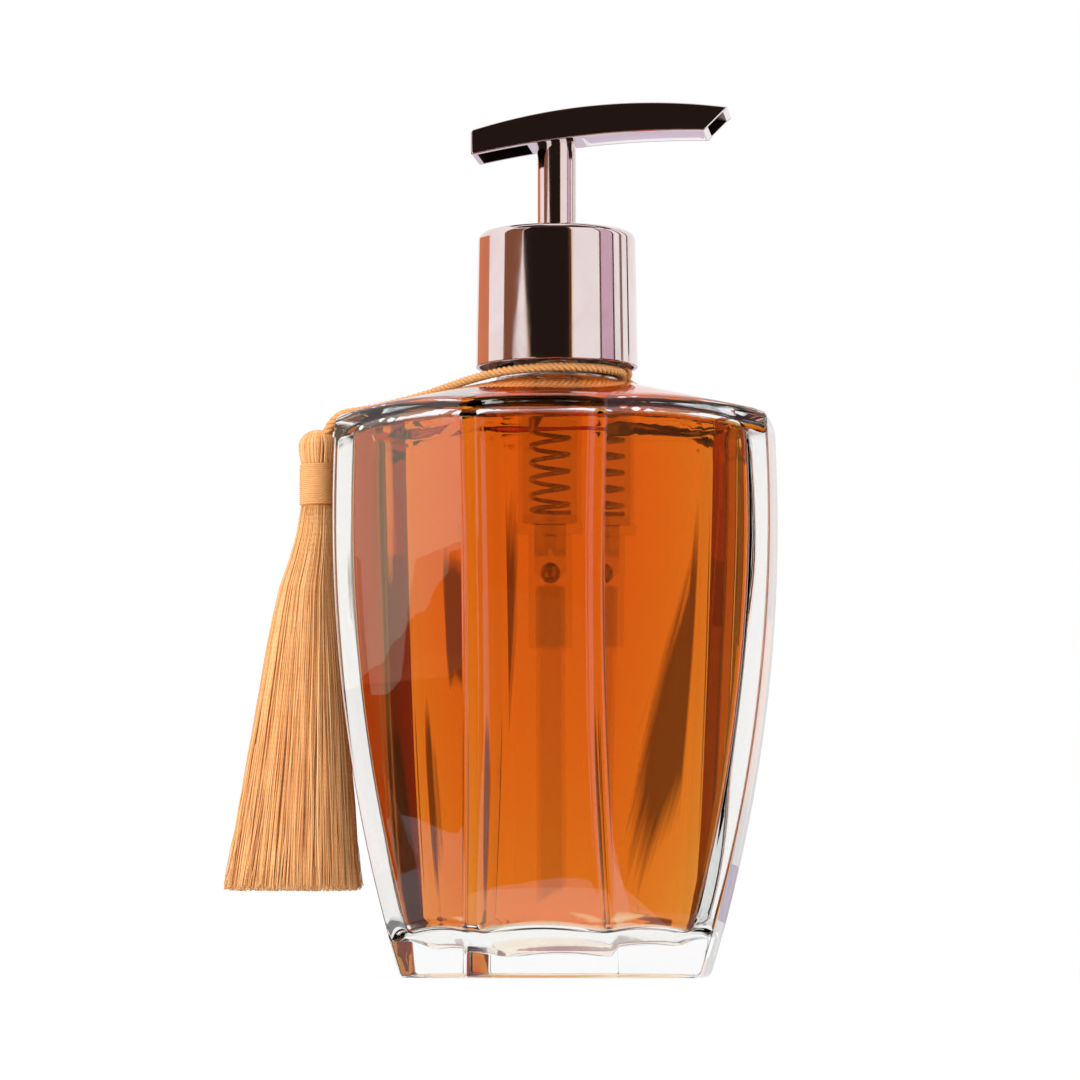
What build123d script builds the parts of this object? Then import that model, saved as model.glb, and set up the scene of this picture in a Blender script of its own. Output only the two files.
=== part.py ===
# Soap pump dispenser: faceted glass bottle, rose gold screw-on lotion pump, and a silk tassel on a cord.
# Millimetres, +Z up. Origin at the centre of the base. Front facet towards -Y, nozzle +X, tassel -X.
import os
from math import atan2, cos, pi, radians, sin, sqrt, tan
from build123d import *

os.makedirs("parts", exist_ok=True)

# Glass body
body_half_width = 45.1
base_half_width = 30.5
waist_height = 95.0
facet_base_width = 30.8
facet_waist_width = 27.4
facet_top_width = 29.6
wall = 7.0
shoulder_slope = 13.5
shoulder_wall = 3.8
floor_edge = 11.2
floor_crown = 16.0
dome_reach = 1.5  # how far the floor's dome is carried, in inside half widths
punt_depth = 1.0
punt_radius = 22.0
arris_radius = 2.4
shoulder_radius = 1.8
base_radius = 1.8
inner_arris_radius = 4.0

# Glass neck and its screw thread
neck_root_height = 123.4
neck_radius = 12.6
neck_length = 20.6
neck_bore = 9.2
neck_root_radius = 0.8
lip_radius = 0.8
thread_pitch = 4.23
thread_turns = 1.5
thread_depth = 1.1
thread_root_width = 2.4
thread_crest_width = 1.2
thread_from_lip = 3.0
thread_bury = 0.3

# Filling
soap_below_root = 3.5
soap_film = 0.05

# Gasket, housing and valve
gasket_thickness = 1.2
flange_thickness = 1.5
flange_radius = 12.3
barrel_radius = 6.6
barrel_bore = 5.7
barrel_length = 52.2
barrel_floor_thickness = 1.5
barrel_bead_height = 2.0
barrel_bead = 0.6
valve_radius = 4.5
valve_bore = 3.3
valve_length = 11.0
seat_depth = 2.0
seat_hole = 1.4
socket_length = 12.0
tube_radius = 3.0
tube_bore = 2.2
tube_floor_gap = 2.0
tube_slant = 30.0
inlet_ball_radius = 2.1
ball_lift = 1.2
retainer_disc = 1.5
retainer_bore = 1.2
retainer_slot = 1.0
retainer_slot_depth = 1.4

# Stem, piston and spring
stem_radius = 4.05
stem_bore = 3.2
stem_engaged = 4.5
guide_flange_radius = 8.4
guide_flange_thickness = 1.5
guide_boss_radius = 6.4
guide_skirt_length = 8.7
piston_length = 7.5
piston_lip = 0.9
piston_lip_length = 2.2
rod_bore = 1.9
follower_radius = 4.9
follower_thickness = 2.0
spigot_length = 5.5
spigot_radius = 2.8
port_diameter = 1.8
outlet_ball_radius = 2.4
outlet_seat_below_head = 10.5
spring_wire = 0.9
spring_radius = 4.0
spring_turns = 10

# Screw cap and collar
cap_wall_gap = 0.25
cap_deck_thickness = 1.5
cap_bottom_inset = 1.5
cap_thread_turns = 1.25
cap_thread_root_width = 2.0
cap_thread_crest_width = 1.0
cap_hole_gap = 0.4
collar_above_root = 2.9
collar_over_neck = 10.6
collar_bottom_radius = 16.9
collar_top_radius = 16.4
collar_wall = 0.8
collar_deck = 1.0
collar_edge_radius = 1.8
collar_hole_gap = 0.35

# Pump head
stem_exposed = 18.6
head_width = 13.8
head_top_radius = 122.8
head_top_apex = 18.2
head_under_radius = 204.0
head_under_apex = 24.8
head_thickness = 6.25
head_tail = 17.3
nozzle_reach = 36.1
nozzle_cut_back = 4.95
head_wall = 1.3
head_top_wall = 1.4
head_edge_chamfer = 0.4
boss_radius = 5.6
stem_socket_depth = 2.6
nozzle_cover_thickness = 1.3
duct_hole = 1.6

# Cord and tassel
cord_diameter = 1.9
cord_gap = 0.3
cord_arc_share = 0.45
knot_radius = 1.45
knot_stand_off = 0.23
loop_slack = 0.57
hinge_inset = 0.1
tassel_stand_off = 5.1
tassel_drop = 3.3
tassel_head_height = 7.1
band_length = 9.0
band_core_radius = 3.4
tassel_head_radius = 4.0
binding_wire = 0.5
binding_turns = 9
skirt_bend_drop = 17.9
skirt_bend_shift = 2.1
skirt_bend_radius = 6.0
skirt_length = 79.9
skirt_shift = 4.9
skirt_bottom_radius = 13.9
skirt_slice = 1.2
strand_rings = 10
strand_top_size = 0.13
strand_bottom_size = 0.42

# Clearances: sliding fits, resting contacts between moving pieces, and room round the pump in the soap
running_gap = 0.05
guide_gap = 0.1
contact_gap = 0.1
guide_headroom = 0.6
piston_headroom = 0.3
soap_gap = 0.35

# Heights that follow from the sizes above
neck_top = neck_root_height + neck_length
soap_level = neck_root_height - soap_below_root
flange_bottom = neck_top + gasket_thickness
flange_top = flange_bottom + flange_thickness
cap_deck_bottom = flange_top + contact_gap
cap_deck_top = cap_deck_bottom + cap_deck_thickness
collar_bottom = neck_root_height + collar_above_root
collar_top = neck_top + collar_over_neck
collar_length = collar_top - collar_bottom
head_under = collar_top + stem_exposed
guide_top = collar_top - collar_deck - guide_headroom
guide_bottom = flange_top - guide_skirt_length
piston_top = guide_bottom - piston_headroom
piston_bottom = piston_top - piston_length
follower_top = piston_bottom - contact_gap
follower_bottom = follower_top - follower_thickness
barrel_floor = flange_bottom - barrel_length
valve_top = barrel_floor - barrel_floor_thickness
valve_bottom = valve_top - valve_length
socket_bottom = valve_bottom - socket_length
retainer_top = barrel_floor + retainer_disc
outlet_seat = head_under - outlet_seat_below_head
sleeve_bottom = collar_top - stem_engaged
sleeve_top = head_under + stem_socket_depth


def bow(z):
    """Half-width across the straight facets at a height."""
    sag = body_half_width - base_half_width
    radius = (waist_height**2 + sag**2) / (2 * sag)
    return body_half_width - radius + sqrt(radius**2 - (z - waist_height) ** 2)


def facet_width(z):
    """Width of the straight facets at a height: narrow at the waist, wider at base and shoulder."""
    share = z / neck_root_height
    flare = facet_base_width + facet_top_width - 2 * facet_waist_width
    return facet_base_width + share * (facet_top_width - facet_base_width - 2 * flare * (1 - share))


def corner_bow(z):
    """Half-width across the corner facets that leaves the straight ones at their own width."""
    return (facet_width(z) / 2 + bow(z)) / sqrt(2)


def shoulder(radius):
    """Height of the outer shoulder cone at a distance from the axis."""
    return neck_root_height - (radius - neck_radius) * tan(radians(shoulder_slope))


def upright_plane(turn):
    """A vertical plane through the axis, its X horizontal and its Y up."""
    across = (cos(radians(turn)), sin(radians(turn)), 0)
    return Plane(origin=(0, 0, 0), x_dir=across, z_dir=(sin(radians(turn)), -cos(radians(turn)), 0))


def faceted_body(inset, rounding):
    """The eight-sided bowed body up to the neck's root, every facet set in by the inset."""
    top = neck_root_height
    middle = top / 2
    reach = 2 * body_half_width
    with BuildPart() as body:
        for turn, width in ((0, bow), (90, bow), (45, corner_bow), (135, corner_bow)):
            with BuildSketch(upright_plane(turn)):
                with BuildLine():
                    right = [(width(z) - inset, z) for z in (0, middle, top)]
                    left = [(-x, z) for x, z in reversed(right)]
                    ThreePointArc(*right)
                    Line(right[2], left[0])
                    ThreePointArc(*left)
                    Line(left[2], right[0])
                make_face()
            extrude(amount=reach, both=True, mode=Mode.ADD if turn == 0 else Mode.INTERSECT)
        fillet(body.edges().filter_by(lambda edge: edge.bounding_box().size.Z > middle), rounding)
    return body.part


def above_cone(drop):
    """Everything above the shoulder cone lowered by the drop."""
    far = 2 * body_half_width
    with BuildPart() as cut:
        with BuildSketch(Plane.XZ):
            with BuildLine():
                Polyline(
                    (0, shoulder(0) - drop),
                    (far, shoulder(far) - drop),
                    (far, neck_root_height + far),
                    (0, neck_root_height + far),
                    close=True,
                )
            make_face()
        revolve(axis=Axis.Z)
    return cut.part


def below_dome(raise_by):
    """Everything under the domed inside floor."""
    edge_at = base_half_width - wall
    sag = floor_crown - floor_edge
    radius = (edge_at**2 + sag**2) / (2 * sag)
    far = dome_reach * edge_at
    crown = floor_crown + raise_by

    def dome(r):
        return crown - radius + sqrt(radius**2 - r**2)

    with BuildPart() as cut:
        with BuildSketch(Plane.XZ):
            with BuildLine():
                ThreePointArc((0, crown), (far / 2, dome(far / 2)), (far, dome(far)))
                Polyline((far, dome(far)), (far, dome(far) - far), (0, dome(far) - far), (0, crown))
            make_face()
        revolve(axis=Axis.Z)
    return cut.part


def bottle_room(film):
    """The inside of the body below the shoulder, kept off the glass by the film."""
    with BuildPart() as room:
        add(faceted_body(wall + film, inner_arris_radius))
        add(above_cone((shoulder_wall + film) / cos(radians(shoulder_slope))), mode=Mode.SUBTRACT)
        add(below_dome(film), mode=Mode.SUBTRACT)
    return room.part


def thread(radius, depth, root_width, crest_width, turns, start, direction):
    """A helical ridge of trapezoid section; direction 1 stands outwards and -1 inwards."""
    with BuildPart() as ridge:
        with BuildLine() as helix:
            Helix(thread_pitch, turns * thread_pitch, radius, center=(0, 0, start))
        with BuildSketch(Plane(origin=helix.line @ 0, x_dir=(direction, 0, 0), z_dir=helix.line % 0)):
            with BuildLine():
                Polyline(
                    (-thread_bury, -root_width / 2),
                    (0, -root_width / 2),
                    (depth, -crest_width / 2),
                    (depth, crest_width / 2),
                    (0, root_width / 2),
                    (-thread_bury, root_width / 2),
                    close=True,
                )
            make_face()
        sweep(path=helix.line, is_frenet=True)
    return ridge.part


def turned(profile):
    """A solid of revolution from a closed profile of (radius, height) corners."""
    with BuildPart() as piece:
        with BuildSketch(Plane.XZ):
            with BuildLine():
                Polyline(*profile, close=True)
            make_face()
        revolve(axis=Axis.Z)
    return piece.part


def tube_between(outer, inner, low, high):
    """A plain ring or tube round the axis."""
    return turned([(inner, low), (outer, low), (outer, high), (inner, high)])


def write(piece, name):
    """Labels a finished piece and writes it."""
    piece.label = name
    export_step(piece, f"parts/{name}.step")


# Glass bottle
thread_start = neck_top - thread_from_lip - thread_turns * thread_pitch
with BuildPart() as glass_bottle:
    add(faceted_body(0, arris_radius))
    add(above_cone(0), mode=Mode.SUBTRACT)
    cone_edges = glass_bottle.faces().filter_by(GeomType.CONE).edges()
    fillet(cone_edges.filter_by(lambda edge: (edge @ 0.5).Z < shoulder(base_half_width)), shoulder_radius)
    fillet(glass_bottle.faces().sort_by(Axis.Z)[0].edges(), base_radius)
    add(tube_between(neck_radius, 0, neck_root_height - shoulder_wall, neck_top))
    root_edges = glass_bottle.edges().filter_by(GeomType.CIRCLE).filter_by_position(
        Axis.Z, neck_root_height - neck_root_radius, neck_root_height + neck_root_radius
    )
    fillet(root_edges, neck_root_radius)
    fillet(glass_bottle.faces().sort_by(Axis.Z)[-1].edges(), lip_radius)
    add(
        thread(
            neck_radius,
            thread_depth,
            thread_root_width,
            thread_crest_width,
            thread_turns,
            thread_start,
            1,
        )
    )
    add(bottle_room(0), mode=Mode.SUBTRACT)
    add(tube_between(neck_bore, 0, soap_level, neck_top + lip_radius), mode=Mode.SUBTRACT)
    with BuildSketch(Plane.XZ):
        with BuildLine():
            ThreePointArc((-punt_radius, 0), (0, punt_depth), (punt_radius, 0))
            Line((punt_radius, 0), (-punt_radius, 0))
        make_face()
        split(bisect_by=Plane.YZ)
    revolve(axis=Axis.Z, mode=Mode.SUBTRACT)
write(glass_bottle.part, "glass_bottle")

# Liquid soap: the filled room, with the pump's place left free
with BuildPart() as liquid_soap:
    add(bottle_room(soap_film))
    add(tube_between(2 * body_half_width, 0, soap_level, 2 * neck_top), mode=Mode.SUBTRACT)
    bead_room = barrel_radius + barrel_bead + soap_gap
    add(tube_between(bead_room, 0, valve_top - barrel_bead_height, neck_top), mode=Mode.SUBTRACT)
    add(tube_between(valve_radius + soap_gap, 0, socket_bottom - soap_gap, neck_top), mode=Mode.SUBTRACT)
    tube_bottom = floor_crown + tube_floor_gap
    add(tube_between(tube_radius + soap_gap, 0, tube_bottom - soap_gap, neck_top), mode=Mode.SUBTRACT)
write(liquid_soap.part, "liquid_soap")

# Gasket between the glass lip and the housing
with BuildPart() as neck_gasket:
    add(tube_between(flange_radius, neck_bore, neck_top, flange_bottom))
write(neck_gasket.part, "neck_gasket")

# Pump housing: flange, barrel with a bead at its foot, inlet valve seat and dip tube socket
socket_radius = tube_radius + running_gap
with BuildPart() as pump_housing:
    outline = [
        (barrel_bore, flange_top),
        (flange_radius, flange_top),
        (flange_radius, flange_bottom),
        (barrel_radius, flange_bottom),
        (barrel_radius, barrel_floor),
        (barrel_radius + barrel_bead, barrel_floor),
        (barrel_radius + barrel_bead, barrel_floor - barrel_bead_height),
        (valve_radius, barrel_floor - barrel_bead_height),
        (valve_radius, socket_bottom),
        (socket_radius, socket_bottom),
        (socket_radius, valve_bottom),
        (seat_hole, valve_bottom),
        (seat_hole, valve_bottom + seat_depth / 2),
        (valve_bore, valve_bottom + 3 * seat_depth / 2),
        (valve_bore, barrel_floor),
        (barrel_bore, barrel_floor),
    ]
    add(turned(outline))
write(pump_housing.part, "pump_housing")

# Dip tube, cut at a slant at its foot
with BuildPart() as dip_tube:
    add(tube_between(tube_radius, tube_bore, tube_bottom, valve_bottom))
    slant = Plane(
        origin=(-tube_radius, 0, tube_bottom),
        z_dir=(-sin(radians(tube_slant)), 0, cos(radians(tube_slant))),
    )
    split(bisect_by=slant, keep=Keep.TOP)
write(dip_tube.part, "dip_tube")

# Inlet ball on its conical seat
seat_slope = atan2(seat_depth, valve_bore - seat_hole)
ball_room = inlet_ball_radius + running_gap
inlet_ball_height = (
    valve_bottom + seat_depth / 2 + (ball_room - seat_hole * sin(seat_slope)) / cos(seat_slope)
)
with BuildPart() as inlet_ball:
    with Locations((0, 0, inlet_ball_height)):
        Sphere(inlet_ball_radius)
write(inlet_ball.part, "inlet_ball")

# Ball retainer: a disc under the spring with a slotted stub that stops the ball
retainer_bottom = inlet_ball_height + inlet_ball_radius + ball_lift + contact_gap
with BuildPart() as ball_retainer:
    add(tube_between(barrel_bore - running_gap, retainer_bore, barrel_floor, retainer_top))
    add(tube_between(valve_bore - running_gap, retainer_bore, retainer_bottom, retainer_top))
    with BuildSketch(Plane.XY.offset(retainer_bottom)):
        with PolarLocations(0, 2, angular_range=180):
            Rectangle(2 * valve_bore, retainer_slot)
    extrude(amount=retainer_slot_depth, mode=Mode.SUBTRACT)
write(ball_retainer.part, "ball_retainer")

# Stem guide: skirt in the barrel, flange on the housing, boss under the collar's deck
guide_bore = stem_radius + guide_gap
with BuildPart() as stem_guide:
    outline = [
        (guide_bore, guide_bottom),
        (barrel_bore - running_gap, guide_bottom),
        (barrel_bore - running_gap, flange_top),
        (guide_flange_radius, flange_top),
        (guide_flange_radius, flange_top + guide_flange_thickness),
        (guide_boss_radius, flange_top + guide_flange_thickness),
        (guide_boss_radius, guide_top),
        (guide_bore, guide_top),
    ]
    add(turned(outline))
write(stem_guide.part, "stem_guide")

# Piston with a sealing lip at each end
rod_radius = stem_bore
piston_wall = barrel_bore - running_gap
piston_bore = rod_radius + running_gap
with BuildPart() as piston:
    waist = piston_wall - piston_lip / 2
    outline = [
        (piston_bore, piston_bottom),
        (waist - piston_lip, piston_bottom + piston_lip_length / 2),
        (piston_wall - piston_lip / 3, piston_bottom),
        (piston_wall, piston_bottom),
        (piston_wall, piston_bottom + piston_lip_length / 2),
        (waist, piston_bottom + piston_lip_length),
        (waist, piston_top - piston_lip_length),
        (piston_wall, piston_top - piston_lip_length / 2),
        (piston_wall, piston_top),
        (piston_wall - piston_lip / 3, piston_top),
        (waist - piston_lip, piston_top - piston_lip_length / 2),
        (piston_bore, piston_top),
    ]
    add(turned(outline))
write(piston.part, "piston")

# Piston stem: hollow rod pressed into the stem sleeve, with a follower for the spring and a closed foot
spigot_bottom = follower_bottom - spigot_length
with BuildPart() as piston_stem:
    outline = [
        (0, spigot_bottom),
        (spigot_radius, spigot_bottom),
        (spigot_radius, follower_bottom),
        (follower_radius, follower_bottom),
        (follower_radius, follower_top),
        (rod_radius, follower_top),
        (rod_radius, outlet_seat),
        (rod_bore, outlet_seat),
        (rod_bore, follower_top),
        (0, follower_top),
    ]
    add(turned(outline))
    with Locations((0, 0, piston_bottom + port_diameter)):
        with Locations(Rotation(90, 0, 0)):
            Cylinder(port_diameter / 2, 4 * rod_radius, mode=Mode.SUBTRACT)
write(piston_stem.part, "piston_stem")

# Outlet ball on the rim of the piston stem
outlet_ball_height = outlet_seat + sqrt(outlet_ball_radius**2 - rod_bore**2) + running_gap
with BuildPart() as outlet_ball:
    with Locations((0, 0, outlet_ball_height)):
        Sphere(outlet_ball_radius)
write(outlet_ball.part, "outlet_ball")


def helix_biarcs(radius, pitch, turns, start):
    """The points, directions and joins of a helix cut into quarter turns, two tangent arcs each."""
    steps = 4 * turns
    rise = pitch / (2 * pi)
    spans = []
    for i in range(steps):
        ends = []
        for angle in (i * pi / 2, (i + 1) * pi / 2):
            point = Vector(radius * cos(angle), radius * sin(angle), start + rise * angle)
            heading = Vector(-radius * sin(angle), radius * cos(angle), rise).normalized()
            ends.append((point, heading))
        (p1, t1), (p2, t2) = ends
        v, t = p2 - p1, t1 + t2
        bend = 2 * (1 - t1.dot(t2))
        reach = (sqrt(v.dot(t) ** 2 + bend * v.dot(v)) - v.dot(t)) / bend
        join = (p1 + p2 + (t1 - t2) * reach) * 0.5
        across = (p2 - t2 * reach - p1 - t1 * reach).normalized()
        spans.append((p1, t1, join, across, p2, t2))
    return spans


def wound(radius, pitch, turns, start, wire, name):
    """A wire wound in a helix, its ends straight for one wire diameter; prints its least gap."""
    spans = helix_biarcs(radius, pitch, turns, start)
    first, first_way = spans[0][0], spans[0][1]
    last, last_way = spans[-1][4], spans[-1][5]
    with BuildPart() as coil:
        with BuildLine() as path:
            Line(first - first_way * wire, first)
            for p1, t1, join, across, p2, _ in spans:
                TangentArc(p1, join, tangent=t1)
                TangentArc(join, p2, tangent=across)
            Line(last, last + last_way * wire)
        with BuildSketch(Plane(origin=path.line @ 0, z_dir=path.line % 0)):
            Circle(wire / 2)
        sweep(path=path.line)
    count = 36 * turns
    line = path.wire()
    points = [line @ (i / count) for i in range(count + 1)]
    apart = min(
        (points[i] - points[j]).length for i in range(len(points)) for j in range(i + 18, len(points))
    )
    filled = coil.part.volume / (pi * wire**2 / 4 * line.length)
    print(name, "least gap", round(apart - wire, 3), "volume over section times length", round(filled, 4))
    return coil.part


# Return spring between the retainer and the follower
spring_low = retainer_top + spring_wire / 2 + contact_gap
spring_high = follower_bottom - spring_wire / 2 - contact_gap
spring_pitch = (spring_high - spring_low) / spring_turns
with BuildPart() as return_spring:
    add(wound(spring_radius, spring_pitch, spring_turns, spring_low, spring_wire, "return_spring"))
write(return_spring.part, "return_spring")


def collar_inside(z):
    """Inner radius of the tapered collar at a height."""
    share = (z - collar_bottom) / collar_length
    return collar_bottom_radius + (collar_top_radius - collar_bottom_radius) * share - collar_wall


# Screw cap that fills the collar, with a thread that runs under the glass one
cap_bore = neck_radius + thread_depth + cap_wall_gap
cap_bottom = collar_bottom + cap_bottom_inset
with BuildPart() as threaded_cap:
    outline = [
        (cap_bore, cap_bottom),
        (collar_inside(cap_bottom), cap_bottom),
        (collar_inside(cap_deck_top), cap_deck_top),
        (guide_flange_radius + cap_hole_gap, cap_deck_top),
        (guide_flange_radius + cap_hole_gap, cap_deck_bottom),
        (cap_bore, cap_deck_bottom),
    ]
    add(turned(outline))
    add(
        thread(
            cap_bore,
            thread_depth,
            cap_thread_root_width,
            cap_thread_crest_width,
            cap_thread_turns,
            thread_start - thread_pitch / 2,
            -1,
        )
    )
write(threaded_cap.part, "threaded_cap")

# Collar sleeve
with BuildPart() as collar_sleeve:
    deck_bottom = collar_top - collar_deck
    outline = [
        (collar_inside(collar_bottom), collar_bottom),
        (collar_bottom_radius, collar_bottom),
        (collar_top_radius, collar_top),
        (stem_radius + collar_hole_gap, collar_top),
        (stem_radius + collar_hole_gap, deck_bottom),
        (collar_inside(deck_bottom), deck_bottom),
    ]
    add(turned(outline))
    circles = collar_sleeve.edges().filter_by(GeomType.CIRCLE)
    top_rim = circles.group_by(Axis.Z)[-1].sort_by(SortBy.RADIUS)[-1]
    fillet(top_rim, collar_edge_radius)
write(collar_sleeve.part, "collar_sleeve")


def arc_height(x, apex, radius, at_axis):
    """Height of an arc with its apex beside the stem axis, from its height on the axis."""
    return at_axis + sqrt(radius**2 - (x - apex) ** 2) - sqrt(radius**2 - apex**2)


def head_top(x):
    """Height of the head's top at a distance along the bar."""
    return arc_height(x, head_top_apex, head_top_radius, head_under + head_thickness)


def head_bottom(x):
    """Height of the head's underside at a distance along the bar."""
    return arc_height(x, head_under_apex, head_under_radius, head_under)


def bar(top, bottom, tail, tip_top, tip_bottom, width):
    """A bar with arched top and underside and a slanted tip, centred on the XZ plane."""
    with BuildPart() as piece:
        with BuildSketch(Plane.XZ):
            with BuildLine():
                upper = [(x, top(x)) for x in (tail, (tail + tip_top) / 2, tip_top)]
                under = [(x, bottom(x)) for x in (tip_bottom, (tail + tip_bottom) / 2, tail)]
                ThreePointArc(*upper)
                Line(upper[2], under[0])
                ThreePointArc(*under)
                Line(under[2], upper[0])
            make_face()
        extrude(amount=width / 2, both=True)
    return piece.part


# Pump head: arched bar, hollow under its tail and along the nozzle
nozzle_under = nozzle_reach - nozzle_cut_back
hollow_width = head_width - 2 * head_wall
with BuildPart() as head_shell:
    far_tip = nozzle_reach + nozzle_cut_back
    add(bar(head_top, head_bottom, -head_tail, far_tip, far_tip, head_width))
    outer_edges = head_shell.edges().filter_by(lambda edge: (edge @ 0.5).X < nozzle_under)
    chamfer(outer_edges, head_edge_chamfer)
    tip_rise = head_top(nozzle_reach) - head_bottom(nozzle_under)
    tip_face = Plane(
        origin=(nozzle_reach, 0, head_top(nozzle_reach)),
        z_dir=(tip_rise, 0, -nozzle_cut_back),
    )
    split(bisect_by=tip_face, keep=Keep.BOTTOM)
    with BuildSketch(Plane.XZ):
        with BuildLine():
            Polyline(
                (-head_tail + head_wall, head_bottom(-head_tail) - head_thickness),
                (-boss_radius, head_bottom(-head_tail) - head_thickness),
                (-boss_radius, head_top(-boss_radius) - head_top_wall),
                (-head_tail + head_wall, head_top(-head_tail + head_wall) - head_top_wall),
                close=True,
            )
        make_face()
    extrude(amount=hollow_width / 2, both=True, mode=Mode.SUBTRACT)
    add(
        bar(
            lambda x: head_top(x) - head_top_wall,
            lambda x: head_bottom(x) - head_thickness,
            boss_radius,
            far_tip,
            far_tip,
            hollow_width,
        ),
        mode=Mode.SUBTRACT,
    )
    with BuildSketch(Plane.XY.offset(head_under - head_thickness)):
        Circle(stem_radius)
    extrude(amount=head_thickness + stem_socket_depth, mode=Mode.SUBTRACT)
    throat_top = head_top(0) - head_top_wall
    with BuildSketch(Plane.XY.offset(sleeve_top)):
        Circle(duct_hole)
        with Locations(((boss_radius + duct_hole) / 2, 0)):
            Rectangle(boss_radius + duct_hole, 2 * duct_hole)
    extrude(amount=throat_top - sleeve_top, mode=Mode.SUBTRACT)
write(head_shell.part, "head_shell")

# Plate that closes the nozzle arm from below, flush with its underside and its slanted tip
with BuildPart() as nozzle_cover:
    cover_tip = nozzle_under + nozzle_cover_thickness * nozzle_cut_back / tip_rise
    add(
        bar(
            lambda x: head_bottom(x) + nozzle_cover_thickness,
            head_bottom,
            boss_radius,
            cover_tip,
            nozzle_under,
            hollow_width,
        )
    )
write(nozzle_cover.part, "nozzle_cover")

# Stem sleeve from the head's socket down into the guide, with a stop over the outlet ball
ball_stop = outlet_ball_height + outlet_ball_radius + ball_lift + contact_gap
with BuildPart() as stem_sleeve:
    outline = [
        (stem_bore, sleeve_bottom),
        (stem_radius, sleeve_bottom),
        (stem_radius, sleeve_top),
        (duct_hole, sleeve_top),
        (duct_hole, ball_stop),
        (stem_bore, ball_stop),
    ]
    add(turned(outline))
write(stem_sleeve.part, "stem_sleeve")


def cord_tube(route, name):
    """A round cord along straight runs joined by the largest tangent arcs that the runs allow."""
    points = [Vector(*point) for point in route]
    runs = [b - a for a, b in zip(points, points[1:])]
    radii = []
    for before, after in zip(runs, runs[1:]):
        half_turn = radians(before.get_angle(after)) / 2
        radii.append(cord_arc_share * min(before.length, after.length) / tan(half_turn))
    with BuildPart() as tube:
        with BuildLine() as path:
            FilletPolyline(*points, radius=radii)
        with BuildSketch(Plane(origin=path.line @ 0, z_dir=path.line % 0)):
            Circle(cord_diameter / 2)
        sweep(path=path.line)
    length = path.wire().length
    filled = tube.part.volume / (pi * cord_diameter**2 / 4 * length)
    print(name, "length", round(length, 1), "radii", [round(radius, 1) for radius in radii])
    print(name, "volume over section times length", round(filled, 4))
    return tube.part


# Hanging loop: each strand runs over the shoulder's edge, up the shoulder and round the neck to the knot
loop_radius = neck_radius + cord_diameter / 2 + loop_slack
strand_lay = [
    (-(body_half_width - hinge_inset), -1.1, 1.68),
    (-37.0, -3.5, 1.4),
    (-27.0, -6.4, 1.44),
    (-13.5, -10.4, 1.57),
]
for turn in (-93, -67, -40, -13):
    strand_lay.append((loop_radius * cos(radians(turn)), loop_radius * sin(radians(turn)), 1.87))
strand_lay.append((loop_radius - loop_slack / 2, 0.0, 1.73))
strand_route = [(x, y, shoulder(sqrt(x**2 + y**2)) + lift) for x, y, lift in strand_lay]
knot_place = (loop_radius + knot_stand_off, 0.0, strand_route[-1][2])
hinge_x, hinge_y, hinge_height = strand_route[0]
hinge = Vector(*strand_route[0])
along = (Vector(*strand_route[1]) - hinge).normalized()
strand_start = hinge + along * (cord_diameter / 2 + cord_gap)
with BuildPart() as cord_front_strand:
    add(cord_tube([strand_start, *strand_route[1:]], "cord strand"))
    with Locations(knot_place):
        Sphere(knot_radius, mode=Mode.SUBTRACT)
with BuildPart() as cord_back_strand:
    add(cord_front_strand.part)
    mirror(about=Plane.XZ, mode=Mode.REPLACE)
with BuildPart() as cord_knot:
    with Locations(knot_place):
        Sphere(knot_radius)
write(cord_front_strand.part, "cord_front_strand")
write(cord_back_strand.part, "cord_back_strand")
write(cord_knot.part, "cord_knot")

# Heights and places of the tassel, which hangs from the strands' ends
tassel_axis = -(body_half_width + tassel_stand_off)
tassel_head_top = hinge_height - tassel_drop
band_top = tassel_head_top - tassel_head_height
band_bottom = band_top - band_length

# Two short lengths that drop from the shoulder's edge into the tassel's head, joined below by a cross bar
drop_end = Vector(tassel_axis, hinge_y, band_top + binding_wire)
drop_bend = Vector(tassel_axis + cord_diameter, hinge_y, tassel_head_top)
with BuildPart() as cord_drop:
    for side in (1, -1):
        points = [Vector(hinge_x, hinge_y, hinge_height), drop_bend, drop_end]
        points = [Vector(p.X, side * p.Y, p.Z) for p in points]
        with BuildLine() as fall:
            FilletPolyline(*points, radius=cord_diameter)
        with BuildSketch(Plane(origin=fall.line @ 0, z_dir=fall.line % 0)):
            Circle(cord_diameter / 2)
        sweep(path=fall.line)
        with Locations(points[0]):
            Sphere(cord_diameter / 2)
    with BuildSketch(Plane.XY.offset(drop_end.Z)):
        with Locations((drop_end.X, 0)):
            Rectangle(cord_diameter, -2 * hinge_y)
    extrude(amount=cord_diameter)
write(cord_drop.part, "cord_drop")

# Tassel head: a dome of folded threads, drilled for the cord
with BuildPart() as tassel_head:
    with BuildSketch(Plane.XZ):
        with BuildLine():
            shoulder_height = (tassel_head_top + band_top) / 2
            axis_top = (tassel_axis, tassel_head_top)
            dome_side = (tassel_axis - tassel_head_radius, shoulder_height)
            corner = tassel_head_radius * (1 - cos(pi / 4))
            crown = tassel_head_top - shoulder_height
            ThreePointArc(
                axis_top,
                (dome_side[0] + corner, shoulder_height + crown * sin(pi / 4)),
                dome_side,
            )
            Polyline(
                dome_side,
                (tassel_axis - band_core_radius, band_top),
                (tassel_axis, band_top),
                axis_top,
            )
        make_face()
    revolve(axis=Axis((tassel_axis, 0, 0), (0, 0, 1)))
    add(cord_drop.part, mode=Mode.SUBTRACT)
write(tassel_head.part, "tassel_head")

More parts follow.
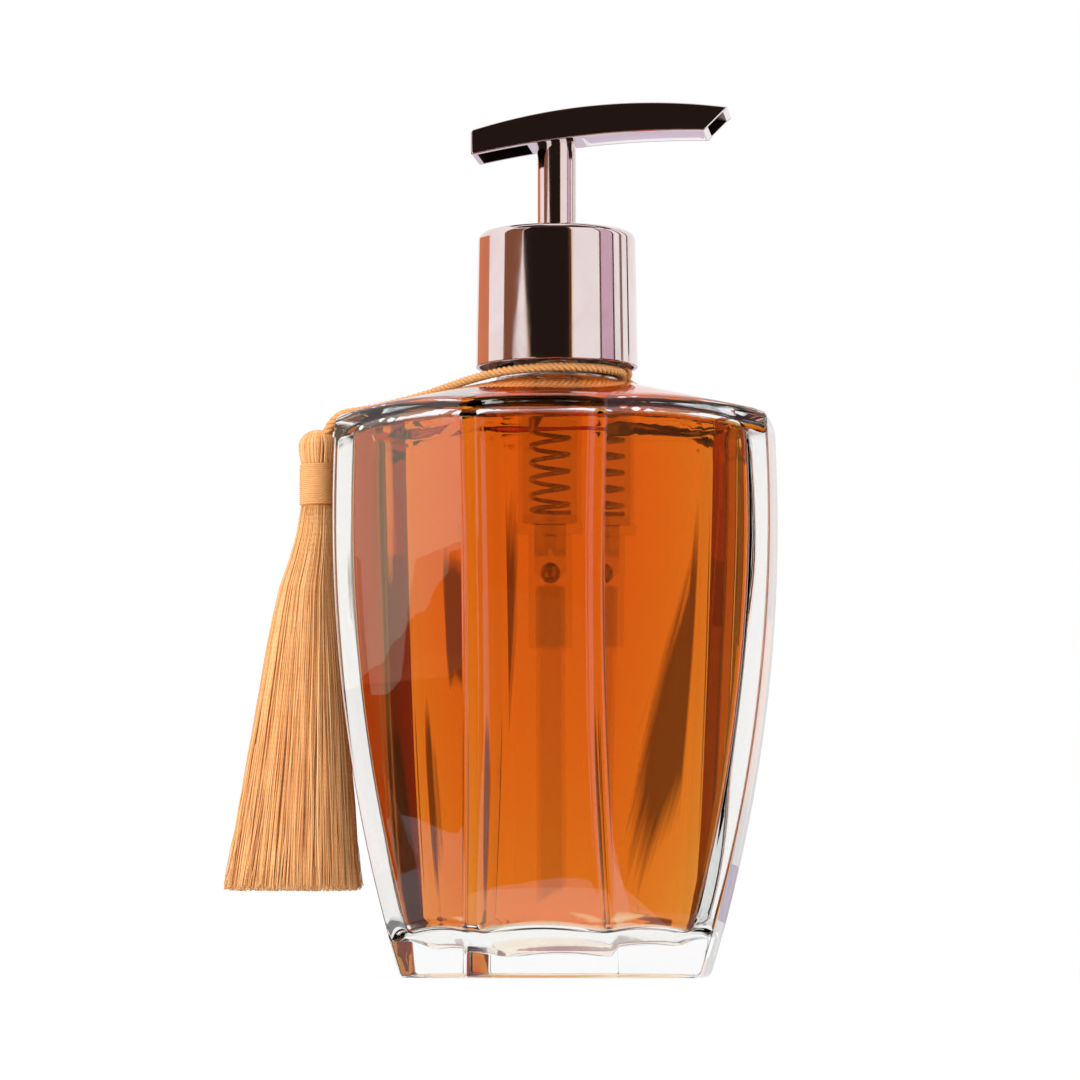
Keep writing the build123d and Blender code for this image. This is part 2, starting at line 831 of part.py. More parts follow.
# Core of the band and the thread wound round it
with BuildPart() as tassel_core:
    with Locations((tassel_axis, 0, band_bottom)):
        Cylinder(
            band_core_radius,
            band_top - band_bottom,
            align=(Align.CENTER, Align.CENTER, Align.MIN),
        )
write(tassel_core.part, "tassel_core")
binding_radius = band_core_radius + binding_wire / 2 + running_gap
binding_pitch = (band_top - band_bottom - binding_wire) / binding_turns
binding_start = band_bottom + binding_wire / 2
with BuildPart() as tassel_binding:
    with Locations((tassel_axis, 0, 0)):
        add(
            wound(
                binding_radius,
                binding_pitch,
                binding_turns,
                binding_start,
                binding_wire,
                "tassel_binding",
            )
        )
write(tassel_binding.part, "tassel_binding")


def strand_corners(across, along):
    """The corners of one three-sided thread, from its place in the band to its place in the hem."""
    levels = [
        (tassel_axis, band_core_radius, band_bottom - skirt_slice, strand_top_size),
        (
            tassel_axis - skirt_bend_shift,
            skirt_bend_radius,
            band_bottom - skirt_bend_drop,
            (strand_top_size + strand_bottom_size) / 2,
        ),
        (
            tassel_axis - skirt_shift,
            skirt_bottom_radius,
            band_bottom - skirt_length,
            strand_bottom_size,
        ),
    ]
    rows = []
    for axis, radius, height, size in levels:
        reach = radius - 2 * size
        centre = Vector(axis + across * reach, along * reach, height)
        rows.append([centre + Vector(size * cos(a), size * sin(a), 0) for a in (0, 2 * pi / 3, 4 * pi / 3)])
    return rows


# Skirt: rings of threads that fan out from a slice under the band, as one closed skin
places = [(0.0, 0.0)]
for ring in range(1, strand_rings + 1):
    for step in range(6 * ring):
        turn = 2 * pi * (step + 0.5 * (ring % 2)) / (6 * ring)
        places.append((ring / strand_rings * cos(turn), ring / strand_rings * sin(turn)))
roots, skin = [], []
for across, along in places:
    rows = strand_corners(across, along)
    roots.append(Wire.make_polygon(rows[0], close=True))
    skin.append(Face(Wire.make_polygon(rows[-1], close=True)))
    for upper, lower in zip(rows, rows[1:]):
        for i in range(3):
            j = (i + 1) % 3
            skin.append(Face(Wire.make_polygon([upper[i], upper[j], lower[j], lower[i]], close=True)))
slice_plane = Plane((tassel_axis, 0, band_bottom - skirt_slice))
under, *others = Solid.make_cylinder(band_core_radius, skirt_slice, slice_plane).faces().sort_by(Axis.Z)
with BuildPart() as tassel_skirt:
    add(Solid(Shell([under.make_holes(roots), *others, *skin])))
write(tassel_skirt.part, "tassel_skirt")
print("threads", len(places), "skirt solids", len(tassel_skirt.part.solids()))
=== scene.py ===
import math
import random

import bmesh
import bpy
import numpy as np
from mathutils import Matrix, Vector, noise


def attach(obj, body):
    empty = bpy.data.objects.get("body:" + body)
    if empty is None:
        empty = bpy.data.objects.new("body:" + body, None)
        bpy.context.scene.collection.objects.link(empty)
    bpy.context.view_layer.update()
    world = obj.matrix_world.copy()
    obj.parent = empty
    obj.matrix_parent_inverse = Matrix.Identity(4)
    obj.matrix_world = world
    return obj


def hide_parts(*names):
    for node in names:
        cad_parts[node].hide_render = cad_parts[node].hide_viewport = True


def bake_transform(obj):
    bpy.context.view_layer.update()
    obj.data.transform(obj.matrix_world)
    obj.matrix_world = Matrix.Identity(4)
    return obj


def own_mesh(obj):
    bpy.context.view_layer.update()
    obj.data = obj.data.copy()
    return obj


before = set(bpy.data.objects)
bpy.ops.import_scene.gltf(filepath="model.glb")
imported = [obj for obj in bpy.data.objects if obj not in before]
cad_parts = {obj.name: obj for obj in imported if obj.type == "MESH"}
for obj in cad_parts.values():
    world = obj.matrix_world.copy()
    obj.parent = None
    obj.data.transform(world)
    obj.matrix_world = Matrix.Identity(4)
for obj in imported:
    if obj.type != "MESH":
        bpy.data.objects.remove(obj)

mm = 0.001
fullTurn = 2 * math.pi
white = (1.0, 1.0, 1.0, 1.0)
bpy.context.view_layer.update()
scene = bpy.context.scene
scene.view_settings.view_transform = "Standard"
print("frame loaded with", len(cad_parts), "nodes")

# Camera at the height of the table top, looking slightly up; in millimetres, degrees and picture pixels
cameraView = {
    "turn": 6.267,
    "aside": -3.501,
    "height": 3.0,
    "away": 982.6,
    "tilt": 5.084,
    "focal": 4756.7,
    "picture": 1080,
    "sensor": 36.0,
    "nearest": 0.01,
}


def aroundCamera(turn, distance, height=0.0):
    # a point around the bottle; turn 0 faces the camera and positive turns go to the picture's right
    facing = math.radians(cameraView["turn"] + turn)
    return Vector((math.sin(facing) * distance, -math.cos(facing) * distance, height))


def inMetres(place):
    return tuple(float(c) * mm for c in place)


lens = bpy.data.cameras.new("photoCamera")
lens.sensor_width = cameraView["sensor"]
lens.lens = cameraView["focal"] / cameraView["picture"] * lens.sensor_width
lens.clip_start = cameraView["nearest"]
camera = bpy.data.objects.new("photoCamera", lens)
scene.collection.objects.link(camera)
sideways = aroundCamera(90, cameraView["aside"] * mm)
standing = Vector((0, 0, cameraView["height"] * mm))
camera.location = aroundCamera(0, cameraView["away"] * mm) + sideways + standing
camera.rotation_euler = (math.radians(90 + cameraView["tilt"]), 0, math.radians(cameraView["turn"]))
scene.camera = camera
print("camera placed")


def feed(tree, node, inputs):
    # each input takes a plain value, or a node and the output that feeds it
    for key, value in inputs.items():
        if isinstance(value, tuple) and isinstance(value[0], bpy.types.Node):
            tree.links.new(value[0].outputs[value[1]], node.inputs[key])
        else:
            node.inputs[key].default_value = value
    return node


def addNode(tree, kind, inputs=None, **settings):
    node = tree.nodes.new(kind)
    for key, value in settings.items():
        setattr(node, key, value)
    return feed(tree, node, inputs or {})


def addMath(tree, operation, *inputs, **settings):
    return addNode(tree, "ShaderNodeMath", dict(enumerate(inputs)), operation=operation, **settings)


def addNoise(tree, place, scale, detail, **more):
    values = {"Vector": place, "Scale": scale, "Detail": detail, **more}
    return addNode(tree, "ShaderNodeTexNoise", values)


def addRange(tree, value, ends):
    return addNode(tree, "ShaderNodeMapRange", {"Value": value, **ends})


def addMapping(tree, place, **values):
    return addNode(tree, "ShaderNodeMapping", {"Vector": place, **values})


def mixColours(tree, share, first, second):
    return addNode(tree, "ShaderNodeMix", {"Factor": share, 6: first, 7: second}, data_type="RGBA")


def addBump(tree, shader, height, strength, depth, invert=False):
    values = {"Height": height, "Strength": strength, "Distance": depth}
    bump = addNode(tree, "ShaderNodeBump", values, invert=invert)
    feed(tree, shader, {"Normal": (bump, 0)})


def newGroup(name, inputs, outputs):
    tree = bpy.data.node_groups.new(name, "ShaderNodeTree")
    for label, value in inputs.items():
        kind = "NodeSocketColor" if isinstance(value, tuple) else "NodeSocketFloat"
        socket = tree.interface.new_socket(label, in_out="INPUT", socket_type=kind)
        socket.default_value = value
    for label in outputs:
        kind = "NodeSocketColor" if label == "Color" else "NodeSocketFloat"
        tree.interface.new_socket(label, in_out="OUTPUT", socket_type=kind)
    return tree, tree.nodes.new("NodeGroupInput"), tree.nodes.new("NodeGroupOutput")


def emptyMaterial(name):
    material = bpy.data.materials.new(name)
    material.use_nodes = True
    tree = material.node_tree
    tree.nodes.clear()
    return material, tree, addNode(tree, "ShaderNodeOutputMaterial")


def newMaterial(name):
    material, tree, output = emptyMaterial(name)
    shader = addNode(tree, "ShaderNodeBsdfPrincipled")
    feed(tree, output, {"Surface": (shader, 0)})
    return material, tree, shader, output


# Shared effect: finger smudges and hairline scratches
def buildHandling():
    defaults = {"Smudge Scale": 60.0, "Scratch Scale": 900.0, "Polished": 0.04, "Smudged": 0.12}
    tree, source, sink = newGroup("handlingMarks", defaults, ("Roughness", "Smudge", "Height"))
    place = (addNode(tree, "ShaderNodeTexCoord"), "Object")
    cloud = addNoise(tree, place, (source, "Smudge Scale"), 4.0, Roughness=0.6, Distortion=0.6)
    sharper = addRange(tree, (cloud, "Fac"), {"From Min": 0.42, "From Max": 0.68})
    ends = {"To Min": (source, "Polished"), "To Max": (source, "Smudged")}
    spread = addRange(tree, (sharper, 0), ends)
    drawnOut = addMapping(tree, place, Scale=(1.0, 1.0, 0.06), Rotation=(0.3, 0.2, 0.0))
    hairline = addNoise(tree, (drawnOut, 0), (source, "Scratch Scale"), 2.0, Roughness=0.5)
    cut = addRange(tree, (hairline, "Fac"), {"From Min": 0.64, "From Max": 0.72})
    feed(tree, sink, {"Roughness": (spread, 0), "Smudge": (sharper, 0), "Height": (cut, 0)})
    return tree


# Shared effect: fibres that run along a thread, read from its own coordinates, with painted shade in the
# grooves between them
def buildFibre():
    colours = {"Shade": (0.5, 0.2, 0.06, 1.0), "Light": (0.9, 0.5, 0.2, 1.0)}
    defaults = {"Tone": 0.5, "Fibres": 6.0, "Lean": 1.0, **colours}
    tree, source, sink = newGroup("fibreLay", defaults, ("Color", "Height", "Roughness"))
    place = addNode(tree, "ShaderNodeUVMap")
    parts = addNode(tree, "ShaderNodeSeparateXYZ", {0: (place, 0)})
    around = addMath(tree, "MULTIPLY", (parts, "X"), (source, "Fibres"))
    along = addMath(tree, "MULTIPLY_ADD", (parts, "Y"), (source, "Lean"), (around, 0))
    turns = addMath(tree, "MULTIPLY", (along, 0), fullTurn)
    ridge = addMath(tree, "SINE", (turns, 0))
    body = addNode(tree, "ShaderNodeTexCoord")
    uneven = addNoise(tree, (body, "Object"), 420.0, 3.0)
    height = addMath(tree, "MULTIPLY_ADD", (ridge, 0), 0.3, (uneven, "Fac"))
    lower = addMath(tree, "SUBTRACT", (source, "Tone"), 0.18)
    # painted shade: darker in the grooves between the fibres and lighter on their ridges; each thread's
    # own random tone and a fine noise also move the colour between Shade and Light
    share = addMath(tree, "MULTIPLY_ADD", (height, 0), 0.35, (lower, 0), use_clamp=True)
    colour = mixColours(tree, (share, 0), (source, "Shade"), (source, "Light"))
    gloss = addRange(tree, (uneven, "Fac"), {"To Min": 0.5, "To Max": 0.34})
    feed(tree, sink, {"Color": (colour, 2), "Height": (height, 0), "Roughness": (gloss, 0)})
    return tree


# Shared effect: fine moulded grain with slow cloudiness
def buildMould():
    colours = {"Dull": (0.7, 0.7, 0.68, 1.0), "Clean": (0.85, 0.85, 0.83, 1.0)}
    defaults = {"Grain Scale": 2500.0, **colours}
    tree, source, sink = newGroup("mouldGrain", defaults, ("Color", "Roughness", "Height"))
    place = (addNode(tree, "ShaderNodeTexCoord"), "Object")
    cloud = addNoise(tree, place, 140.0, 3.0)
    grain = addNoise(tree, place, (source, "Grain Scale"), 2.0)
    colour = mixColours(tree, (cloud, "Fac"), (source, "Dull"), (source, "Clean"))
    gloss = addRange(tree, (cloud, "Fac"), {"To Min": 0.3, "To Max": 0.5})
    feed(tree, sink, {"Color": (colour, 2), "Roughness": (gloss, 0), "Height": (grain, "Fac")})
    return tree


handlingMarks = buildHandling()
fibreLay = buildFibre()
mouldGrain = buildMould()
print("shared effects built")

# Metals: a bright and a handled colour, with hairline scratches where there is a depth for them
roseGoldLook = {
    "clean": (0.80, 0.69, 0.69, 1.0),
    "handled": (0.75, 0.61, 0.59, 1.0),
    "marks": {"Smudge Scale": 55.0, "Scratch Scale": 800.0, "Polished": 0.045, "Smudged": 0.11},
    "scratch": 0.02,
    "scratchDepth": 0.00002,
}
# painted shade: a very dark, rough plate for the head's pocket and spout; partly the thinner plating
# inside, mostly the shade of these hollows painted into its colour
shadedThinPlateLook = {
    "clean": (0.16, 0.10, 0.09, 1.0),
    "handled": (0.11, 0.065, 0.055, 1.0),
    "marks": {"Smudge Scale": 120.0, "Scratch Scale": 800.0, "Polished": 0.28, "Smudged": 0.42},
    "scratch": 0.02,
    "scratchDepth": 0.00002,
}
steelLook = {
    "clean": (0.62, 0.60, 0.57, 1.0),
    "handled": (0.45, 0.43, 0.41, 1.0),
    "marks": {"Smudge Scale": 300.0, "Scratch Scale": 1500.0, "Polished": 0.16, "Smudged": 0.32},
}


def makeMetal(name, look):
    material, tree, shader, _ = newMaterial(name)
    marks = addNode(tree, "ShaderNodeGroup", node_tree=handlingMarks)
    feed(tree, marks, look["marks"])
    colour = mixColours(tree, (marks, "Smudge"), look["clean"], look["handled"])
    feed(tree, shader, {"Base Color": (colour, 2), "Roughness": (marks, "Roughness"), "Metallic": 1.0})
    if "scratch" in look:
        addBump(tree, shader, (marks, "Height"), look["scratch"], look["scratchDepth"], invert=True)
    return material


# Clear bodies: the glass is a little rippled, the soap is plain
glassLook = {
    "ior": 1.5,
    "tint": (0.80, 0.93, 0.95, 1.0),
    "density": 2.0,
    "ripple": 0.10,
    "rippleDepth": 0.0006,
    "rippleStretch": (1.0, 1.0, 0.45),
    "rippleScale": 38.0,
    "rippleDetail": 1.5,
}
soapLook = {"ior": 1.38, "tint": (0.958, 0.647, 0.06, 1.0), "density": 85.0}


def makeClear(name, look):
    material, tree, shader, output = newMaterial(name)
    absorb = addNode(tree, "ShaderNodeVolumeAbsorption")
    feed(tree, absorb, {"Color": look["tint"], "Density": look["density"]})
    feed(tree, output, {"Volume": (absorb, 0)})
    clear = {"Base Color": white, "Roughness": 0.0, "IOR": look["ior"], "Transmission Weight": 1.0}
    feed(tree, shader, clear)
    if "ripple" in look:
        place = (addNode(tree, "ShaderNodeTexCoord"), "Object")
        stretch = addMapping(tree, place, Scale=look["rippleStretch"])
        ripple = addNoise(tree, (stretch, 0), look["rippleScale"], look["rippleDetail"])
        addBump(tree, shader, (ripple, "Fac"), look["ripple"], look["rippleDepth"])
    return material


# Plastics: cover is how much the thin natural walls hide
whiteLook = {
    "grain": {"Grain Scale": 2500.0, "Dull": (0.72, 0.72, 0.70, 1.0), "Clean": (0.84, 0.84, 0.82, 1.0)},
    "cover": 1.0,
}
naturalLook = {
    "grain": {"Grain Scale": 1800.0, "Dull": (0.90, 0.88, 0.84, 1.0), "Clean": (0.98, 0.97, 0.95, 1.0)},
    "cover": 0.11,
}
grainBump = {"strength": 0.08, "depth": 0.00003}


def makePlastic(name, look):
    material, tree, shader, _ = newMaterial(name)
    grain = addNode(tree, "ShaderNodeGroup", node_tree=mouldGrain)
    feed(tree, grain, look["grain"])
    feed(tree, shader, {"Base Color": (grain, "Color"), "Roughness": (grain, "Roughness")})
    feed(tree, shader, {"Alpha": look["cover"]})
    addBump(tree, shader, (grain, "Height"), **grainBump)
    return material


# Silk of the cord and of the tassel's threads; Shade and Light are a shaded and a lit copy of the silk
# colour
cordLook = {
    "lay": {
        "Fibres": 5.0,
        "Lean": 0.55,
        "Shade": (0.54, 0.16, 0.025, 1.0),
        "Light": (1.0, 0.52, 0.19, 1.0),
    },
    "depth": 0.00009,
}
threadLook = {
    "lay": {
        "Fibres": 2.0,
        "Lean": 0.9,
        "Shade": (0.70, 0.24, 0.05, 1.0),
        "Light": (1.0, 0.60, 0.26, 1.0),
    },
    "depth": 0.00004,
}
silkSheen = {"Sheen Weight": 0.35, "Sheen Roughness": 0.35, "Sheen Tint": (1.0, 0.80, 0.58, 1.0)}
silkRelief = 0.7


def makeSilk(name, look):
    material, tree, shader, _ = newMaterial(name)
    tone = addNode(tree, "ShaderNodeAttribute", attribute_name="tone")
    lay = addNode(tree, "ShaderNodeGroup", node_tree=fibreLay)
    feed(tree, lay, {"Tone": (tone, "Fac"), **look["lay"]})
    feed(tree, shader, {"Base Color": (lay, "Color"), "Roughness": (lay, "Roughness"), **silkSheen})
    addBump(tree, shader, (lay, "Height"), silkRelief, look["depth"])
    return material


roseGold = makeMetal("roseGold", roseGoldLook)
# painted shade for the hollows of the head, as a darker plate
shadedThinPlate = makeMetal("shadedThinPlate", shadedThinPlateLook)  # inside the head's pocket and spout
valveSteel = makeMetal("valveSteel", steelLook)
clearGlass = makeClear("clearGlass", glassLook)
amberSoap = makeClear("amberSoap", soapLook)
whitePlastic = makePlastic("whitePlastic", whiteLook)
naturalPlastic = makePlastic("naturalPlastic", naturalLook)
cordSilk = makeSilk("cordSilk", cordLook)
threadSilk = makeSilk("threadSilk", threadLook)
print("finishes built")


def linkPiece(name, mesh):
    piece = bpy.data.objects.new(name, mesh)
    scene.collection.objects.link(piece)
    return piece


def settle(piece, body, replaced):
    # the body that carries a piece and the nodes that it stands for
    if body:
        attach(piece, body)
    if replaced:
        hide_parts(*replaced)
    return piece


def onCircle(radius, angle, height, axis=0.0):
    return (axis + radius * math.cos(angle), radius * math.sin(angle), height)


def skinRings(rings, closed=False):
    # quads between rings of equal length; a ring of one point is a pole
    points, faces, starts = [], [], []
    for ring in rings:
        starts.append(len(points))
        points.extend(ring)
    pairs = list(zip(range(len(rings)), range(1, len(rings))))
    if closed:
        pairs.append((len(rings) - 1, 0))
    for a, b in pairs:
        countA, countB = len(rings[a]), len(rings[b])
        for i in range(max(countA, countB)):
            j = (i + 1) % max(countA, countB)
            if countA == 1:
                faces.append((starts[a], starts[b] + j, starts[b] + i))
            elif countB == 1:
                faces.append((starts[a] + i, starts[a] + j, starts[b]))
            else:
                faces.append((starts[a] + i, starts[a] + j, starts[b] + j, starts[b] + i))
    return points, faces


def easedCorner(a, b, c, weight, steps):
    # a rounded corner from a to c that bends towards b
    rows = []
    for step in range(steps + 1):
        t = step / steps
        share = np.array([(1 - t) ** 2, 2 * t * (1 - t) * weight, t * t])
        share = share / share.sum()
        rows.append(share[0] * a + share[1] * b + share[2] * c)
    return rows


def addPiece(name, rings, material, body, slot, replaced=(), closed=False):
    points, faces = skinRings(rings, closed)
    mesh = bpy.data.meshes.new(name)
    mesh.from_pydata([inMetres(p) for p in points], [], faces)
    mesh.materials.append(material)
    work = bmesh.new()
    work.from_mesh(mesh)
    bmesh.ops.recalc_face_normals(work, faces=work.faces)
    work.to_mesh(mesh)
    work.free()
    mesh.shade_smooth()
    return settle(linkPiece(name, mesh), body, replaced)


def runAlong(path):
    # how far each point of a line is from its start
    steps = np.linalg.norm(np.diff(np.asarray(path), axis=0), axis=1)
    return np.concatenate([[0.0], np.cumsum(steps)])


def framesAlong(path):
    # the two directions across a line at each of its points, carried along it without twist
    ways = np.gradient(path, axis=0)
    ways /= np.linalg.norm(ways, axis=1)[:, None]
    side = np.cross(ways[0], (0.0, 0.0, 1.0))
    if np.linalg.norm(side) < 1e-3:
        side = np.cross(ways[0], (0.0, 1.0, 0.0))
    frames = []
    for way in ways:
        side = side - way * side.dot(way)
        side /= np.linalg.norm(side)
        frames.append((side, np.cross(way, side)))
    return frames


def tubeRings(path, radii, sides):
    path = np.asarray(path, float)
    angles = np.arange(sides) * 2 * math.pi / sides
    rings = []
    for point, (side, over), radius in zip(path, framesAlong(path), radii):
        rings.append([point + radius * (math.cos(a) * side + math.sin(a) * over) for a in angles])
    return rings


def addTubes(name, tubes, material, body=None, replaced=()):
    # many closed tubes in one mesh, each (path, radii, sides, tone), with coordinates for the fibres
    points, faces, uvs, tones = [], [], [], []
    for path, radii, sides, tone in tubes:
        start = len(points)
        rings = tubeRings(path, radii, sides)
        run = runAlong(path)
        for ring in rings:
            points.extend(ring)
            tones.extend([tone] * sides)
        for row in range(len(rings) - 1):
            low, high = start + row * sides, start + (row + 1) * sides
            for i in range(sides):
                j = (i + 1) % sides
                faces.append((low + i, low + j, high + j, high + i))
                across, ahead = i / sides, (i + 1) / sides
                uvs.extend([(across, run[row]), (ahead, run[row])])
                uvs.extend([(ahead, run[row + 1]), (across, run[row + 1])])
        faces.append(tuple(start + i for i in reversed(range(sides))))
        uvs.extend([(0.0, 0.0)] * sides)
        last = start + (len(rings) - 1) * sides
        faces.append(tuple(last + i for i in range(sides)))
        uvs.extend([(0.0, run[-1])] * sides)
    mesh = bpy.data.meshes.new(name)
    mesh.from_pydata([inMetres(p) for p in points], [], faces)
    mesh.materials.append(material)
    layer = mesh.uv_layers.new(name="fibres")
    layer.data.foreach_set("uv", np.array(uvs, np.float32).ravel())
    attribute = mesh.attributes.new("tone", "FLOAT", "POINT")
    attribute.data.foreach_set("value", np.array(tones, np.float32))
    mesh.shade_smooth()
    return settle(linkPiece(name, mesh), body, replaced)


# Hanging cord: each strand goes from the knot round the neck, over the shoulder and into the tassel
cord = {
    "neck": [
        (13.83, 0.0, 124.83),
        (13.76, -3.18, 124.91),
        (10.82, -9.08, 124.91),
        (5.52, -13.0, 124.91),
        (-0.74, -14.1, 124.91),
    ],
    "drop": [(-45.4, -1.1, 117.2), (-48.3, -1.1, 114.0), (-50.2, -1.1, 107.4)],
    "diameter": 1.9,
    "plies": 3,
    "plyRadius": 0.46,
    "plySides": 10,
    "pitch": 3.6,
    "step": 0.22,
    "swell": (0.05, 0.9),
    "tone": (0.45, 0.2),
    "hingeStart": (-42.6, 0.0, 118.4),
    "hingeEnd": (-47.6, 0.0, 115.0),
}
strands = [
    {
        "name": "cordFront",
        "node": "cord_front_strand",
        "mirror": 1,
        "seed": 12,
        "shoulder": [
            (-9.5, -12.4, 124.4),
            (-16.5, -7.6, 123.5),
            (-22.5, -2.4, 122.4),
            (-28.5, 1.8, 121.0),
            (-36.0, 2.4, 119.2),
            (-42.0, 0.6, 117.8),
        ],
    },
    {
        "name": "cordBack",
        "node": "cord_back_strand",
        "mirror": -1,
        "seed": 10,
        "shoulder": [
            (-13.5, -10.4, 123.9),
            (-27.0, -6.8, 121.2),
            (-36.0, -5.2, 119.0),
            (-42.0, -3.4, 117.7),
        ],
    },
]


def smoothLine(route):
    # points read from the smooth spline that the route steers
    curve = bpy.data.curves.new("cordLine", "CURVE")
    curve.dimensions = "3D"
    spline = curve.splines.new("NURBS")
    spline.points.add(len(route) - 1)
    for point, place in zip(spline.points, route):
        point.co = (*inMetres(place), 1.0)
    spline.order_u = 3
    spline.use_endpoint_u = True
    spline.resolution_u = 32
    holder = linkPiece("cordLine", curve)
    bpy.context.view_layer.update()
    read = bpy.data.meshes.new_from_object(holder)
    line = np.array([v.co for v in read.vertices]) / mm
    bpy.data.objects.remove(holder)
    bpy.data.curves.remove(curve)
    bpy.data.meshes.remove(read)
    return line


def evenly(line, step):
    run = runAlong(line)
    places = np.linspace(0.0, run[-1], max(3, int(run[-1] / step)))
    return np.stack([np.interp(places, run, line[:, i]) for i in range(3)], axis=1), run[-1]


def twistedPlies(line, seed):
    draw = random.Random(seed)
    lay = cord["diameter"] / 2 - cord["plyRadius"]
    plies = [[] for _ in range(cord["plies"])]
    for point, (side, over), distance in zip(line, framesAlong(line), runAlong(line)):
        for ply in range(cord["plies"]):
            angle = fullTurn * (distance / cord["pitch"]) + fullTurn * ply / cord["plies"]
            plies[ply].append(point + lay * (math.cos(angle) * side + math.sin(angle) * over))
    tubes = []
    swell, beat = cord["swell"]
    for ply in plies:
        swells = [1 + swell * math.sin(beat * i) * draw.random() for i in range(len(ply))]
        radii = [cord["plyRadius"] * share for share in swells]
        tubes.append((ply, radii, cord["plySides"], cord["tone"][0] + cord["tone"][1] * draw.random()))
    return tubes


for strand in strands:
    places = cord["neck"] + strand["shoulder"] + cord["drop"]
    route = [(x, strand["mirror"] * y, z) for x, y, z in places]
    line, cordLength = evenly(smoothLine(route), cord["step"])
    plies = twistedPlies(line, strand["seed"])
    rope = addTubes(strand["name"], plies, cordSilk, replaced=(strand["node"],))
    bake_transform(rope)
    print(strand["name"], "laid,", round(cordLength, 1), "mm long")

# Knot beside the neck: three wraps of ply round the two ends, and short frayed fibres below it
knot = {
    "place": (14.35, 0.0, 124.83),
    "wraps": 3,
    "wrapRadius": 0.95,
    "wrapSteps": 24,
    "overlap": 5,
    "spread": 0.55,
    "climb": 0.3,
    "tilt": 0.5,
    "tiltShare": 0.4,
    "ply": 0.46,
    "fray": 26,
    "frayLength": 4.2,
    "frayRadius": 0.13,
    "fraySteps": 7,
    "seed": 29,
}


def knotTubes():
    draw = random.Random(knot["seed"])
    centre = np.array(knot["place"])
    tubes = []
    for wrap in range(knot["wraps"]):
        tilt = knot["tilt"] * (wrap - 1)
        ring = []
        for step in range(knot["wrapSteps"] + knot["overlap"]):
            angle = fullTurn * step / knot["wrapSteps"] + wrap
            lift = knot["spread"] * (wrap - 1) + knot["climb"] * math.sin(angle * 0.5)
            lift += tilt * math.sin(angle) * knot["tiltShare"]
            reach = knot["wrapRadius"]
            ring.append(centre + np.array((reach * math.cos(angle), lift, reach * math.sin(angle))))
        tubes.append((ring, [knot["ply"]] * len(ring), 10, 0.4 + 0.15 * wrap))
    shares = np.linspace(0, 1, knot["fraySteps"])
    for _ in range(knot["fray"]):
        way = np.array((0.35 + 0.5 * draw.random(), draw.uniform(-0.5, 0.5), -0.9))
        way /= np.linalg.norm(way)
        start = centre + np.array((draw.uniform(-0.3, 0.8), draw.uniform(-0.6, 0.6), -0.9))
        reach = knot["frayLength"] * draw.uniform(0.45, 1.0)
        bend = np.array((draw.uniform(-0.5, 0.9), draw.uniform(-0.6, 0.6), draw.uniform(-0.2, 0.3)))
        path = [start + way * reach * s + bend * s * s for s in shares]
        radii = [knot["frayRadius"] * (1 - 0.5 * s) for s in shares]
        tubes.append((path, radii, 5, draw.uniform(0.3, 0.8)))
    return tubes


addTubes("cordKnot", knotTubes(), cordSilk, "bottle", ("cord_knot",))
print("knot tied")

# Tassel: head of folded threads, thread-wound band and a skirt of fine threads
tassel = {
    "axis": -50.2,
    "headTop": 114.0,
    "headRadius": 4.0,
    "bandTop": 106.9,
    "bandBottom": 97.9,
    "coreRadius": 3.4,
    "coreHole": 0.6,
    "headThreads": 64,
    "headThread": 0.3,
    "headInset": 0.25,
    "domeShare": 0.6,
    "bandTurns": 21,
    "bandSteps": 28,
    "bandThread": 0.225,
    "bend": (-52.3, 80.0, 6.0),
    "hem": (-55.1, 18.0, 13.7),
    "skirtThreads": 1750,
    "skirtSteps": 14,
    "outerShare": 0.72,
    "threadTop": 0.1,
    "threadHem": 0.19,
    "strays": 26,
    "straySteps": 18,
    "strayThread": 0.09,
}


def headTubes():
    draw = random.Random(41)
    tubes = []
    middle = (tassel["headTop"] + tassel["bandTop"]) / 2
    crown = tassel["headTop"] - middle
    widest = tassel["headRadius"] - tassel["headInset"]
    dome = tassel["domeShare"]
    for strand in range(tassel["headThreads"]):
        turn = fullTurn * (strand + draw.uniform(-0.25, 0.25)) / tassel["headThreads"]
        lean = draw.uniform(-0.12, 0.12)
        proud = draw.uniform(-0.22, 0.06)
        path = []
        for s in np.linspace(0.0, 1.0, 15):
            if s < dome:
                angle = (s / dome) * math.pi / 2
                radius = widest * math.sin(angle)
                height = middle + (crown - 0.3) * math.cos(angle)
            else:
                ease = (s - dome) / (1 - dome)
                radius = widest - (tassel["headRadius"] - tassel["coreRadius"] + 0.1) * ease**1.5
                height = middle - (middle - tassel["bandTop"] + 0.5) * ease
            radius = max(0.35, radius + proud)
            swing = turn + lean * s
            path.append(onCircle(radius, swing, height, tassel["axis"]))
        tubes.append((path, [tassel["headThread"]] * len(path), 7, draw.uniform(0.3, 0.75)))
    return tubes


def bandTubes():
    draw = random.Random(43)
    count = tassel["bandTurns"] * tassel["bandSteps"]
    low, high, thread = tassel["bandBottom"], tassel["bandTop"], tassel["bandThread"]
    path = []
    for step in range(count + 1):
        angle = fullTurn * step / tassel["bandSteps"]
        share = step / count
        radius = tassel["coreRadius"] + thread * (0.9 + 0.25 * noise.noise((angle * 0.7, 3.1, 0.0)))
        height = low + 0.25 + (high - low - 0.5) * share
        height += 0.05 * noise.noise((angle * 0.35, 0.0, 7.7))
        path.append(onCircle(radius, angle, height, tassel["axis"]))
    return [(path, [thread] * len(path), 8, 0.5 + 0.1 * draw.random())]


